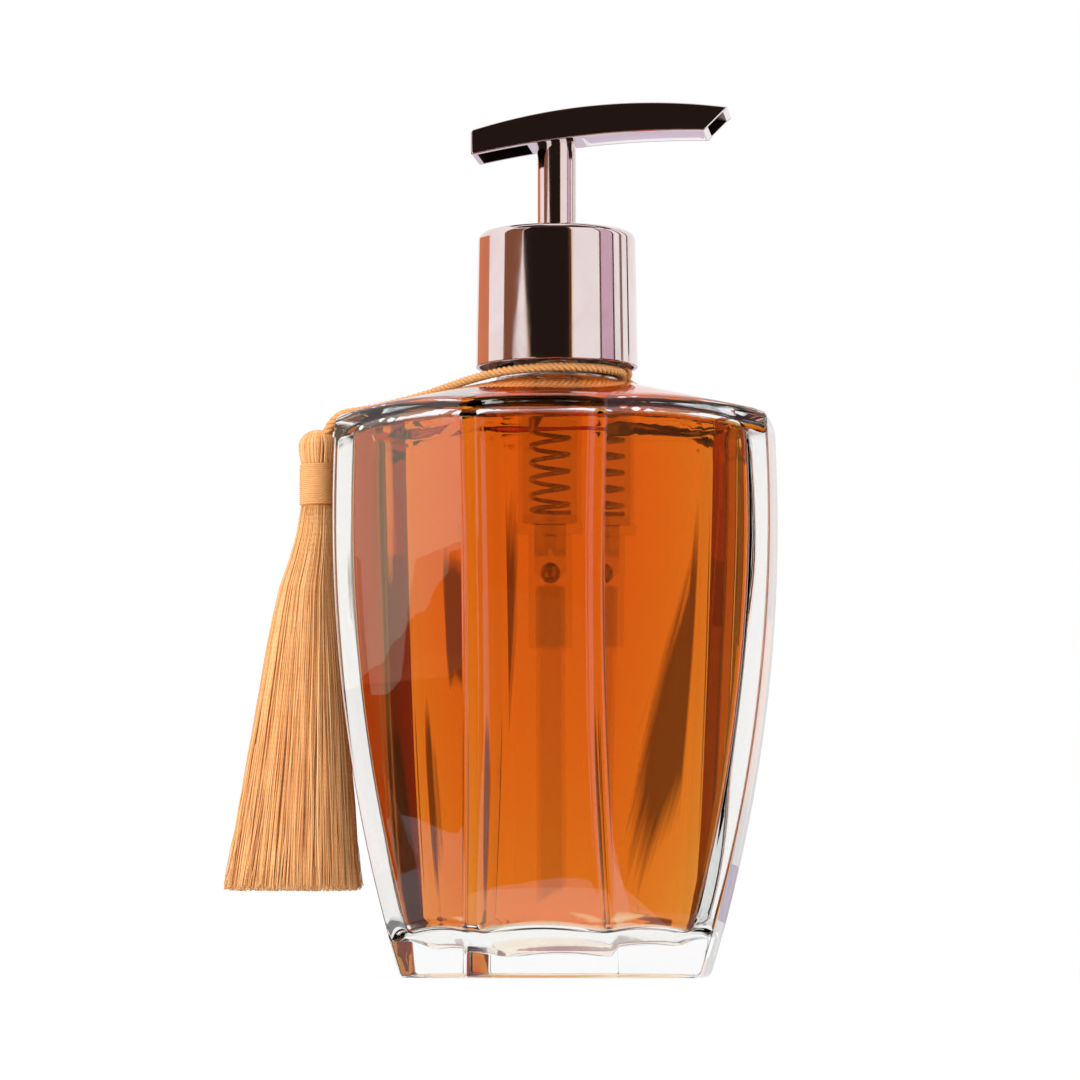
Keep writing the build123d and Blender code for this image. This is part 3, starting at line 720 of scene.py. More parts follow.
def skirtPoint(place, share, phase, wander):
    # a thread's place in the round, carried from the band through the bend to the hem
    top = (tassel["axis"], tassel["bandBottom"], tassel["coreRadius"])
    bend, hem = tassel["bend"], tassel["hem"]
    height = top[1] + (hem[1] - top[1]) * share
    at = (top[1] - bend[1]) / (top[1] - hem[1])
    if share < at:
        part = share / at
        ease = part * part * (1.6 - 0.6 * part)
        axis = top[0] + (bend[0] - top[0]) * ease
        radius = top[2] + (bend[2] - top[2]) * (0.55 * part + 0.45 * ease)
    else:
        part = (share - at) / (1 - at)
        axis = bend[0] + (hem[0] - bend[0]) * part
        radius = bend[2] + (hem[2] - bend[2]) * (part ** 0.93)
    x = axis + radius * place[0] + wander * noise.noise((phase, share * 3.1, 1.7)) * share
    y = radius * place[1] + wander * noise.noise((phase, share * 2.7, 9.3)) * share
    return (x, y, height)


def skirtTubes():
    draw = random.Random(47)
    tubes = []
    count, steps = tassel["skirtThreads"], tassel["skirtSteps"]
    thicker = tassel["threadHem"] - tassel["threadTop"]
    radii = [tassel["threadTop"] + thicker * min(1.0, i / 7) for i in range(steps + 1)]
    for strand in range(count):
        outer = strand < count * tassel["outerShare"]
        turn = draw.uniform(0, fullTurn)
        reach = draw.uniform(0.86, 1.0) if outer else 0.86 * math.sqrt(draw.random())
        lock = 0.05 * noise.noise((math.cos(turn) * 3.0, math.sin(turn) * 3.0, 0.0))
        reach = min(1.0, reach + lock)
        place = (reach * math.cos(turn), reach * math.sin(turn))
        end = draw.uniform(0.985, 1.0) if draw.random() < 0.93 else draw.uniform(0.93, 1.0)
        phase = draw.uniform(0, 400)
        wander = draw.uniform(0.5, 1.5)
        crimp = draw.uniform(0.0, 0.05)
        path = []
        for i in range(steps + 1):
            x, y, z = skirtPoint(place, end * i / steps, phase, wander)
            x += crimp * math.sin(i * 2.4 + phase)
            y += crimp * math.cos(i * 2.9 + phase)
            path.append((x, y, z))
        tubes.append((path, radii, 4, draw.uniform(0.15, 0.95)))
    steps = tassel["straySteps"]
    for _ in range(tassel["strays"]):
        turn = draw.uniform(0, fullTurn)
        place = (math.cos(turn), math.sin(turn))
        phase = draw.uniform(0, 400)
        path = []
        for i in range(steps + 1):
            x, y, z = skirtPoint(place, 0.6 + 0.41 * i / steps, phase, 1.0)
            away = (i / steps) ** 2 * draw.uniform(0.6, 2.2)
            path.append((x + away * place[0], y + away * place[1], z))
        smooth = [np.mean(np.array(path[max(0, i - 2) : i + 3]), axis=0) for i in range(steps + 1)]
        tubes.append((smooth, [tassel["strayThread"]] * len(smooth), 4, draw.uniform(0.4, 0.9)))
    return tubes


addTubes("tasselHead", headTubes(), threadSilk, "tassel", ("tassel_head", "cord_drop"))
addTubes("tasselBand", bandTubes(), threadSilk, "tassel", ("tassel_binding",))
addTubes("tasselSkirt", skirtTubes(), threadSilk, "tassel", ("tassel_skirt",))


def addTurned(name, loop, segments, axis, *rest):
    rings = []
    for step in range(segments):
        rings.append([onCircle(r, fullTurn * step / segments, z, axis) for r, z in loop])
    addPiece(name, rings, *rest, closed=True)


def roundedLoop(corners, steps=6, support=0.04):
    # a closed profile of (radius, height, rounding) with support points beside each rounded corner
    loop = []
    for i, (r, z, rounding) in enumerate(corners):
        here = np.array((r, z))
        before = np.array(corners[i - 1][:2]) - here
        after = np.array(corners[(i + 1) % len(corners)][:2]) - here
        before /= np.linalg.norm(before)
        after /= np.linalg.norm(after)
        half = math.acos(float(np.clip(before.dot(after), -1, 1))) / 2
        cut = rounding / math.tan(half)
        start, end = here + before * cut, here + after * cut
        loop.append(start + before * support)
        loop.extend(easedCorner(start, here, end, math.sin(half), steps))
        loop.append(end + after * support)
    return [tuple(p) for p in loop]


def sleeveLoop(bore, radius, low, high, boreRound, rounding):
    return roundedLoop(
        [
            (bore, low, boreRound),
            (radius, low, rounding),
            (radius, high, rounding),
            (bore, high, boreRound),
        ]
    )


coreSide, coreAxis = tassel["coreRadius"] - 0.05, tassel["axis"]
coreLoop = sleeveLoop(tassel["coreHole"], coreSide, tassel["bandBottom"], tassel["bandTop"], 0.1, 0.3)
addTurned("tasselCore", coreLoop, 48, coreAxis, threadSilk, "tassel", "apricot_silk", ("tassel_core",))
print("tassel made")

# Bottle: eight bowed facets, conical shoulder, neck with a lip, thick domed floor
bottle = {
    "half": 45.1,
    "baseHalf": 30.5,
    "waist": 95.0,
    "bowRadius": 316.4,  # rounded, for the lean at the foot
    "facetBase": 30.8,
    "facetWaist": 27.4,
    "facetTop": 29.6,
    "wall": 7.0,
    "slope": math.radians(13.5),
    "shoulderWall": 3.8,
    "floorEdge": 11.2,
    "floorCrown": 16.0,
    "puntDepth": 1.0,
    "puntRadius": 22.0,
    "arris": 2.4,
    "rim": 1.8,
    "rimLean": 0.06,
    "innerArris": 4.0,
    "innerRim": 2.6,
    "root": 123.4,
    "neck": 12.6,
    "neckTop": 144.0,
    "bore": 9.2,
    "boreFlare": 0.6,
    "rootRound": 0.8,
    "lipRound": 0.8,
    "unevenness": 0.28,
    "arcSteps": 8,
    "flatSteps": 10,
    "levels": 40,
}
squareCorner = 0.707  # weight that makes an eased right angle nearly round
eighth = math.radians(45)


def bow(z):
    sag = bottle["half"] - bottle["baseHalf"]
    radius = (bottle["waist"] ** 2 + sag**2) / (2 * sag)
    return bottle["half"] - radius + np.sqrt(radius**2 - (z - bottle["waist"]) ** 2)


def facetWidth(z):
    share = z / bottle["root"]
    base, top = bottle["facetBase"], bottle["facetTop"]
    flare = base + top - 2 * bottle["facetWaist"]
    return base + share * (top - base - 2 * flare * (1 - share))


def cornerBow(z):
    return (facetWidth(z) / 2 + bow(z)) / math.sqrt(2)


def shoulderHeight(radius):
    return bottle["root"] - (radius - bottle["neck"]) * math.tan(bottle["slope"])


def facetColumns():
    # each column: two corners of the plan, the angle on each one's rounding, and the share between them
    columns = []
    for k in range(8):
        first = math.radians(45 * k)
        for j in range(bottle["arcSteps"] + 1):
            angle = first + eighth * j / bottle["arcSteps"]
            columns.append((k, angle, k, angle, 0.0))
        for j in range(1, bottle["flatSteps"]):
            angle = first + eighth
            columns.append((k, angle, (k + 1) % 8, angle, j / bottle["flatSteps"]))
    return np.array(columns)


columns = facetColumns()


def cornerPoint(k, angle, z, inset, rounding):
    first, second = np.radians(45 * k), np.radians(45 * (k + 1))
    straight, slanted = bow(z) - inset - rounding, cornerBow(z) - inset - rounding
    even = (k % 2) == 0
    d0, d1 = np.where(even, straight, slanted), np.where(even, slanted, straight)
    across = math.sin(eighth)
    x = (d0 * np.sin(second) - d1 * np.sin(first)) / across + rounding * np.cos(angle)
    y = (d1 * np.cos(first) - d0 * np.cos(second)) / across + rounding * np.sin(angle)
    return np.stack([x, y], axis=1)


def planAt(z, inset, rounding):
    z = np.broadcast_to(np.asarray(z, float), (len(columns),))
    a = cornerPoint(columns[:, 0], columns[:, 1], z, inset, rounding)
    b = cornerPoint(columns[:, 2], columns[:, 3], z, inset, rounding)
    share = columns[:, 4][:, None]
    return a * (1 - share) + b * share


def ringAt(z, inset, rounding):
    z = np.broadcast_to(np.asarray(z, float), (len(columns),))
    return np.column_stack([planAt(z, inset, rounding), z])


def roundRing(radius, z, turns):
    radius = np.broadcast_to(np.asarray(radius, float), turns.shape)
    z = np.broadcast_to(np.asarray(z, float), turns.shape)
    return np.stack([radius * np.cos(turns), radius * np.sin(turns), z], axis=1)


def reachAndTurns(ring):
    return np.linalg.norm(ring[:, :2], axis=1), np.arctan2(ring[:, 1], ring[:, 0])


def meetHeight(heightOf, inset, rounding, start):
    z = np.full(len(columns), float(start))
    for _ in range(25):
        z = 0.5 * z + 0.5 * heightOf(np.linalg.norm(planAt(z, inset, rounding), axis=1))
    return z


def wavy(ring):
    # the inside of blown glass is never quite flat
    moved = []
    for x, y, z in ring:
        out = math.hypot(x, y) + 1e-6
        push = bottle["unevenness"] * noise.noise((x / 15, y / 15, z / 34))
        moved.append((x + x / out * push, y + y / out * push, z))
    return np.array(moved)


def outerRings():
    # from the middle of the punt out to the foot, up the wall and over the lip
    arris, slope, levels = bottle["arris"], bottle["slope"], bottle["levels"]
    root, neck, bore = bottle["root"], bottle["neck"], bottle["bore"]
    neckTop, lip = bottle["neckTop"], bottle["lipRound"]
    punt, deep = bottle["puntRadius"], bottle["puntDepth"]
    lean = math.atan(bottle["waist"] / bottle["bowRadius"])
    turn = math.pi / 2 - lean
    cut = bottle["rim"] * math.tan(turn / 2)
    footTurns = reachAndTurns(planAt(0.0, cut, 1.0))[1]
    rings = [np.array([(0.0, 0.0, deep)])]
    for radius in (4.0, 8.0, 12.0, 16.0, 19.0, 21.0, punt):
        rings.append(roundRing(radius, deep * (1 - (radius / punt) ** 2), footTurns))
    rings.append(roundRing(punt + 0.4, 0.0, footTurns))
    foot, edge = ringAt(0.0, cut, 1.1), ringAt(0.0, 0.0, arris)
    wallStart = cut * math.cos(lean)
    rings.extend(easedCorner(foot, edge, ringAt(wallStart, 0.0, arris), math.cos(turn / 2), 6))
    crest = meetHeight(shoulderHeight, 0.0, arris, 115.0)
    turn = math.pi / 2 - slope + bottle["rimLean"]
    cut = bottle["rim"] * math.tan(turn / 2)
    for level in range(1, levels + 1):
        rings.append(ringAt(wallStart + (crest - cut - wallStart) * level / levels, 0.0, arris))
    rimRing = ringAt(crest, 0.0, arris)
    reach, turns = reachAndTurns(rimRing)
    coneStart = reach - cut * math.cos(slope)
    coneRing = roundRing(coneStart, shoulderHeight(coneStart), turns)
    rings.extend(easedCorner(rings[-1], rimRing, coneRing, math.cos(turn / 2), 6)[1:])
    turn = math.pi / 2 - slope
    cut = bottle["rootRound"] * math.tan(turn / 2)
    coneEnd = neck + cut * math.cos(slope)
    for step in range(1, 11):
        radius = coneStart + (coneEnd - coneStart) * step / 10
        rings.append(roundRing(radius, shoulderHeight(radius), turns))
    corner, above = roundRing(neck, root, turns), roundRing(neck, root + cut, turns)
    rings.extend(easedCorner(rings[-1], corner, above, math.cos(turn / 2), 4)[1:])
    for z in (root + 4, root + 10, neckTop - lip):
        rings.append(roundRing(neck, z, turns))
    corner, after = roundRing(neck, neckTop, turns), roundRing(neck - lip, neckTop, turns)
    rings.extend(easedCorner(rings[-1], corner, after, squareCorner, 5)[1:])
    rings.append(roundRing(bore + lip, neckTop, turns))
    corner, after = roundRing(bore, neckTop, turns), roundRing(bore, neckTop - lip, turns)
    rings.extend(easedCorner(rings[-1], corner, after, squareCorner, 5)[1:])
    return rings, turns


def domeHeight(radius, grow):
    edge = bottle["baseHalf"] - bottle["wall"]
    sag = bottle["floorCrown"] - bottle["floorEdge"]
    curve = (edge**2 + sag**2) / (2 * sag)
    return bottle["floorCrown"] - grow - curve + np.sqrt(curve**2 - radius**2)


def innerRings(grow):
    # from the bore out under the shoulder, down the wall and over the floor; grown into the glass
    inset, rounding = bottle["wall"] - grow, bottle["innerArris"]
    slope, levels = bottle["slope"], bottle["levels"]
    drop = (bottle["shoulderWall"] - grow) / math.cos(slope)

    def ceiling(radius):
        return shoulderHeight(radius) - drop

    crest = meetHeight(ceiling, inset, rounding, 112.0)
    rimRing = ringAt(crest, inset, rounding)
    reach, turns = reachAndTurns(rimRing)
    turn = math.pi / 2 - slope + bottle["rimLean"]
    cut = bottle["innerRim"] * math.tan(turn / 2)
    coneStart, coneEnd = bottle["bore"] + bottle["boreFlare"], reach - cut * math.cos(slope)
    rings = []
    for step in range(13):
        radius = coneStart + (coneEnd - coneStart) * step / 12
        rings.append(roundRing(radius, ceiling(radius), turns))
    wallTop = ringAt(crest - cut, inset, rounding)
    rings.extend(easedCorner(rings[-1], rimRing, wallTop, math.cos(turn / 2), 7)[1:])
    foot = meetHeight(lambda radius: domeHeight(radius, grow), inset, rounding, 9.0)
    lift = bottle["innerRim"] * 0.9
    for level in range(1, levels + 1):
        height = crest - cut + (foot + lift - crest + cut) * level / levels
        rings.append(ringAt(height, inset, rounding))
    footRing = ringAt(foot, inset, rounding)
    reach, footTurns = reachAndTurns(footRing)
    floorStart = roundRing(reach - lift, domeHeight(reach - lift, grow), footTurns)
    rings.extend(easedCorner(rings[-1], footRing, floorStart, 0.75, 7)[1:])
    for share in (0.86, 0.7, 0.52, 0.34, 0.17):
        radius = (reach - lift) * share
        rings.append(roundRing(radius, domeHeight(radius, grow), footTurns))
    rings = [wavy(ring) for ring in rings]
    rings.append(np.array([(0.0, 0.0, domeHeight(0.0, grow))]))
    return rings, turns


def boreRings(outerTurns, innerTurns):
    # down the inside of the neck, from the columns of the outside to those of the inside
    shift = np.unwrap(innerTurns) - np.unwrap(outerTurns)
    start = bottle["neckTop"] - bottle["lipRound"]
    end = shoulderHeight(bottle["bore"]) - bottle["shoulderWall"] / math.cos(bottle["slope"]) + 0.7
    rings = []
    for step in range(1, 5):
        height = start + (end - start) * step / 4
        rings.append(roundRing(bottle["bore"], height, outerTurns + shift * step / 4))
    return rings


outer, outerTurns = outerRings()
inner, innerTurns = innerRings(0.0)
glassRings = outer + boreRings(outerTurns, innerTurns) + inner
addPiece("bottleGlass", glassRings, clearGlass, "bottle", "clear_glass", ("glass_bottle",))

# Screw thread round the neck, with its ends run out
neckScrew = {
    "pitch": 4.23,
    "turns": 1.5,
    "start": 134.655,
    "depth": 1.1,
    "bury": 0.3,
    "root": 2.4,
    "crest": 1.2,
    "steps": 150,
    "runOut": 0.05,
}


def capped(rings):
    # a run of rings with the middle of each end added as a pole
    first, last = np.mean(np.array(rings[0]), axis=0), np.mean(np.array(rings[-1]), axis=0)
    return [[first]] + rings + [[last]]


def screwRings():
    rings = []
    foot, crest = neckScrew["root"] / 2, neckScrew["crest"] / 2
    soft = 0.3 * (foot - crest)
    for step in range(neckScrew["steps"] + 1):
        share = step / neckScrew["steps"]
        stand = min(1.0, 0.12 + min(share, 1 - share) / neckScrew["runOut"])
        angle = fullTurn * neckScrew["turns"] * share
        height = neckScrew["start"] + neckScrew["pitch"] * neckScrew["turns"] * share
        depth = neckScrew["depth"] * stand
        ring = []
        for out, rise in (
            (-neckScrew["bury"], -foot),
            (0.0, -foot),
            (0.8 * depth, -crest - soft),
            (0.95 * depth, -crest),
            (depth, -0.7 * crest),
            (depth, 0.7 * crest),
            (0.95 * depth, crest),
            (0.8 * depth, crest + soft),
            (0.0, foot),
            (-neckScrew["bury"], foot),
        ):
            ring.append(onCircle(bottle["neck"] + out, angle, height + rise))
        rings.append(ring)
    return capped(rings)


addPiece("neckThread", screwRings(), clearGlass, "bottle", "clear_glass")
print("bottle blown")

# Soap: fills the inside a hair into the glass, with a small climb where it meets the wall
soap = {"level": 119.9, "overlap": 0.15, "climb": 0.2, "rows": 64}


def soapRings():
    grown, _ = innerRings(soap["overlap"])
    floorPole, walls = grown[-1], np.stack(grown[-2::-1])
    top = soap["level"] + soap["climb"]
    rows = [[] for _ in range(soap["rows"])]
    for column in range(walls.shape[1]):
        line = walls[:, column]
        above = int(np.argmax(line[:, 2] > top))
        share = (top - line[above - 1, 2]) / (line[above, 2] - line[above - 1, 2])
        line = np.vstack([line[:above], line[above - 1] + share * (line[above] - line[above - 1])])
        run = runAlong(line)
        for row, place in enumerate(np.linspace(0.0, run[-1], soap["rows"])):
            rows[row].append([np.interp(place, run, line[:, i]) for i in range(3)])
    rings = [floorPole] + [np.array(row) for row in rows]
    edge = rings[-1]
    for share in (0.993, 0.982, 0.965, 0.93, 0.8, 0.6, 0.4, 0.2):
        ring = edge.copy()
        ring[:, :2] *= share
        ring[:, 2] = soap["level"] + soap["climb"] * math.exp(-(1 - share) * 40 / 0.55)
        rings.append(ring)
    rings.append(np.array([(0.0, 0.0, soap["level"])]))
    return rings


addPiece("soapFilling", soapRings(), amberSoap, "bottle", "amber_soap", ("liquid_soap",))
print("soap poured")

# Rose gold collar over the screw cap, and the stem
collar = {
    "bottom": 126.3,
    "top": 154.6,
    "bottomRadius": 16.9,
    "topRadius": 16.4,
    "wall": 0.8,
    "deck": 1.0,
    "hole": 4.4,
}
collarLoop = roundedLoop(
    [
        (collar["bottomRadius"] - collar["wall"], collar["bottom"], 0.15),
        (collar["bottomRadius"], collar["bottom"], 0.25),
        (collar["topRadius"], collar["top"], 1.8),
        (collar["hole"], collar["top"], 0.2),
        (collar["hole"], collar["top"] - collar["deck"], 0.1),
        (collar["topRadius"] - collar["wall"], collar["top"] - collar["deck"], 0.3),
    ],
    steps=9,
)
addTurned("collarSleeve", collarLoop, 240, 0.0, roseGold, "closure", "rose_gold", ("collar_sleeve",))
stem = {"bottom": 150.1, "top": 175.8, "radius": 4.05, "bore": 1.6}
stemLoop = sleeveLoop(stem["bore"], stem["radius"], stem["bottom"], stem["top"], 0.1, 0.2)
addTurned("stemSleeve", stemLoop, 160, 0.0, roseGold, "actuator", "rose_gold", ("stem_sleeve",))
print("collar and stem turned")

# Pump head: arched bar with a slanted spout and a pocket under its tail
head = {
    "under": 173.2,
    "thickness": 6.25,
    "width": 13.8,
    "topRadius": 122.8,
    "topApex": 18.2,
    "underRadius": 204.0,
    "underApex": 24.8,
    "tail": 17.3,
    "reach": 36.1,
    "cutBack": 4.95,
    "wall": 1.3,
    "topWall": 1.4,
    "boss": 5.6,
    "edge": 0.55,
    "leastEdge": 0.06,
    "spoutFrame": 1.25,
    "spoutDepth": 16.0,
    "fineEdge": 0.1,
    "fineAngle": 40,
}


def archHeight(x, apex, radius, onAxis):
    return onAxis + math.sqrt(radius**2 - (x - apex) ** 2) - math.sqrt(radius**2 - apex**2)


def headTop(x):
    return archHeight(x, head["topApex"], head["topRadius"], head["under"] + head["thickness"])


def headUnder(x):
    return archHeight(x, head["underApex"], head["underRadius"], head["under"])


def roundedBox(half, low, high, rounding, steps):
    # a rectangle with rounded corners, as (across, height)
    ring = []
    for y, h, first in ((half, low, -90), (half, high, 0), (-half, high, 90), (-half, low, 180)):
        midY = y - math.copysign(rounding, y)
        midH = h + rounding if h == low else h - rounding
        for step in range(steps + 1):
            angle = math.radians(first + 90 * step / steps)
            ring.append((midY + rounding * math.cos(angle), midH + rounding * math.sin(angle)))
    return ring


def headSection(lowX, highX, inset):
    # a rounded rectangle between a point of the underside and a point of the top
    low, high = np.array((lowX, headUnder(lowX))), np.array((highX, headTop(highX)))
    rise = np.linalg.norm(high - low)
    way = (high - low) / rise
    half, rounding = head["width"] / 2 - inset, max(head["edge"] - inset, head["leastEdge"])
    pocket = head["width"] / 2 - head["wall"]
    ring = [(-pocket, inset), (0.0, inset), (pocket, inset)]
    ring += roundedBox(half, inset, rise - inset, rounding, 5)
    return [(low[0] + way[0] * h, y, low[1] + way[1] * h) for y, h in ring]


def headSections():
    # all sections from the tail to the spout, and the rows that the pocket takes up
    sections = []
    for step in range(6):
        angle = math.pi / 2 * step / 5
        x = -head["tail"] + head["edge"] * (1 - math.cos(angle))
        sections.append(headSection(x, x, head["edge"] * (1 - math.sin(angle))))
    pocketStart, pocketEnd = -head["tail"] + head["wall"], -head["boss"]
    pocketRows = range(len(sections), len(sections) + 5)
    stations = [pocketStart, -14.0, -12.0, -10.0, -8.0, pocketEnd]
    stations += [-4.0 + 2.0 * i for i in range(14)]
    sections += [headSection(x, x, 0.0) for x in stations]
    lastX, tipUnder = stations[-1], head["reach"] - head["cutBack"]
    for step in range(1, 9):
        low = lastX + (tipUnder - lastX) * step / 8
        high = lastX + (head["reach"] - lastX) * step / 8
        sections.append(headSection(low, high, 0.0))
    return sections, pocketRows


def pushedIn(work, faces):
    # the faces' corners drawn out as a new end, with the old faces taken away
    drawn = bmesh.ops.extrude_face_region(work, geom=faces)
    bmesh.ops.delete(work, geom=faces, context="FACES")
    return [item for item in drawn["geom"] if isinstance(item, bmesh.types.BMVert)]


def buildHead():
    sections, pocketRows = headSections()
    work = bmesh.new()
    rows = [[work.verts.new([c * mm for c in p]) for p in section] for section in sections]
    count = len(rows[0])
    pocketFaces = []
    for row in range(len(rows) - 1):
        for i in range(count):
            j = (i + 1) % count
            face = work.faces.new((rows[row][i], rows[row][j], rows[row + 1][j], rows[row + 1][i]))
            if row in pocketRows and i in (0, 1):
                pocketFaces.append(face)
    work.faces.new(rows[0])
    spout = work.faces.new(list(reversed(rows[-1])))
    bmesh.ops.recalc_face_normals(work, faces=work.faces)
    roof = pushedIn(work, pocketFaces)
    for vert in roof:
        vert.co.z = (headTop(vert.co.x / mm) - head["topWall"]) * mm
    bmesh.ops.inset_individual(work, faces=[spout], thickness=head["spoutFrame"] * mm)
    deep = pushedIn(work, [spout])
    for vert in deep:
        vert.co.x -= head["spoutDepth"] * mm
    bmesh.ops.recalc_face_normals(work, faces=work.faces)
    # faces of the pocket and spout take the second slot, the dark plate with painted shade
    hollow = set(roof + deep)
    for face in work.faces:
        face.material_index = 1 if hollow.intersection(face.verts) else 0
    mesh = bpy.data.meshes.new("headShell")
    work.to_mesh(mesh)
    work.free()
    mesh.materials.append(roseGold)
    mesh.materials.append(shadedThinPlate)
    mesh.shade_smooth()
    piece = linkPiece("headShell", mesh)
    fine = piece.modifiers.new("fineEdge", "BEVEL")
    fine.width = head["fineEdge"] * mm
    fine.segments = 2
    fine.limit_method = "ANGLE"
    fine.angle_limit = math.radians(head["fineAngle"])
    weighted = piece.modifiers.new("evenShade", "WEIGHTED_NORMAL")
    weighted.keep_sharp = True
    settle(piece, "actuator", ("head_shell",))


buildHead()

# Plate under the nozzle arm, a hair proud of it
cover = {
    "start": 5.8,
    "shy": 0.25,
    "proud": 0.04,
    "thickness": 1.2,
    "half": 5.5,
    "edge": 0.25,
    "steps": 24,
}


def coverRings():
    end = head["reach"] - head["cutBack"] - cover["shy"]
    rings = []
    for step in range(cover["steps"] + 1):
        x = cover["start"] + (end - cover["start"]) * step / cover["steps"]
        low, high = headUnder(x) - cover["proud"], headUnder(x) + cover["thickness"]
        half = cover["half"] - (cover["edge"] if step in (0, cover["steps"]) else 0.0)
        rings.append([(x, y, z) for y, z in roundedBox(half, low, high, cover["edge"], 4)])
    return capped(rings)


addPiece("nozzleCover", coverRings(), roseGold, "actuator", "rose_gold", ("nozzle_cover",))
print("head made")

# Return spring with closed end turns
spring = {
    "low": 95.05,
    "high": 127.55,
    "radius": 4.0,
    "wire": 0.45,
    "turns": 11.0,
    "turnSteps": 28,
    "closedTurns": 0.8,
    "closedRise": 0.33,
    "anchor": 94.5,
    "travel": 14.0,
}


def springPath():
    steps = int(spring["turns"] * spring["turnSteps"])
    rise = []
    for step in range(steps + 1):
        turn = spring["turns"] * step / steps
        fromEnd = min(turn, spring["turns"] - turn)
        rise.append(spring["closedRise"] if fromEnd < spring["closedTurns"] else 1.0)
    climbed = np.concatenate([[0.0], np.cumsum(rise[1:])])
    climbed /= climbed[-1]
    path = []
    for step in range(steps + 1):
        angle = fullTurn * spring["turns"] * step / steps
        height = spring["low"] + (spring["high"] - spring["low"]) * climbed[step]
        path.append(onCircle(spring["radius"], angle, height))
    return path


path = springPath()
wound = [(path, [spring["wire"]] * len(path), 10, 0.5)]
coil = addTubes("returnSpring", wound, valveSteel, "pump_body", ("return_spring",))
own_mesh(coil)
print("spring wound")

# Finishes of the pieces that stay as they are
stayFinish = {
    "neck_gasket": whitePlastic,
    "pump_housing": naturalPlastic,
    "stem_guide": whitePlastic,
    "dip_tube": naturalPlastic,
    "ball_retainer": naturalPlastic,
    "piston": naturalPlastic,
    "piston_stem": naturalPlastic,
    "inlet_ball": valveSteel,
    "outlet_ball": valveSteel,
    "threaded_cap": whitePlastic,
}
for name, material in stayFinish.items():
    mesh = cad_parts[name].data
    mesh.materials.clear()
    mesh.materials.append(material)
print("inside pieces finished")

# Studio: pale floor and surround, two lamps, and cards that the camera never sees.
# Turn and rise are degrees seen from the bottle, away is metres; seen is mirror, glass or both
studio = {
    "fill": 0.9,
    "floorShare": 0.93,
    "floorHalf": 4,
    "floorDrop": 0.00005,
    "middle": 0.1,
    "wallAway": 1.9,
    "tableFar": 1.95,
    "tableLift": {"mirror": 0.0002, "glass": 0.0003},
    "lamps": [
        {"name": "leftLamp", "turn": -50, "wide": 0.7},
        {"name": "rightLamp", "turn": 43, "wide": 0.9},
    ],
    "lampAway": 1.4,
    "lampHeight": 0.6,
    "lampTall": 1.2,
    "lampPower": 11.0,
}


def upright(left, right, low, high):
    return [(left, low), (right, low), (right, high), (left, high)]


cards = [
    {
        "name": "darkRoom",
        "tone": (0.020, 0.012, 0.010),
        "away": 1.9,
        "outline": [
            *[(-30, -3), (20, -3), (20, 52), (-50, 52)],
            *[(-50, 11.8), (-38, 9.6), (-38, 6), (-30, 4)],
        ],
    },
    {"name": "brownEdge", "tone": (0.10, 0.04, 0.02), "away": 1.89, "outline": upright(17, 21, -3, 50)},
    {
        "name": "peachLeft",
        "tone": (0.95, 0.72, 0.48),
        "away": 1.89,
        "outline": [(-41, 6), (-38, 6), (-38, 9.6), (-50, 11.8), (-51, 11.8), (-41, 9.6)],
    },
    {"name": "peachRight", "tone": (0.95, 0.72, 0.48), "away": 1.88, "outline": upright(21, 23, -3, 50)},
    {
        "name": "leftFlag",
        "tone": (0.26, 0.10, 0.055),
        "away": 1.9,
        "outline": [(-82, -3), (-66, -3), (-66, 9.6), (-51, 11.8), (-51, 45), (-82, 45)],
    },
    {"name": "thinFlag", "tone": (0.16, 0.07, 0.05), "away": 1.9, "outline": upright(64, 67, 9, 45)},
    {"name": "lilacCard", "tone": (0.70, 0.50, 0.62), "away": 1.9, "outline": upright(67, 88, 9, 45)},
    {"name": "lineOne", "tone": (0.04, 0.03, 0.03), "away": 1.9, "outline": upright(88, 91, 9, 45)},
    {"name": "lineTwo", "tone": (0.28, 0.16, 0.12), "away": 1.9, "outline": upright(103, 109, 9, 45)},
    {"name": "lineThree", "tone": (0.05, 0.04, 0.04), "away": 1.9, "outline": upright(122, 126, 9, 45)},
    {"name": "rightFlag", "tone": (0.03, 0.014, 0.01), "away": 1.88, "outline": upright(62, 100, -3, 9)},
    {
        "name": "softBox",
        "tone": (1.05, 1.02, 1.04),
        "away": 1.8,
        "seen": "both",
        "outline": [(-83, 9), (-113, 9), (-114, 9.5), (-128, 26), (-128, 55), (-83, 55)],
    },
    {
        "name": "paleSheet",
        "tone": (1.05, 1.1, 0.85),
        "away": 1.8,
        "seen": "both",
        "outline": [(-83, 2.2), (-101.8, 2.2), (-104.2, -4.2), (-112, -4.2), (-113, 9), (-83, 9)],
    },
    {
        "name": "copperWall",
        "tone": (0.72, 0.25, 0.12),
        "away": 1.95,
        "outline": [(-152, -3), (-97, -3), (-97, 14.6), (-156, 14.6)],
    },
]
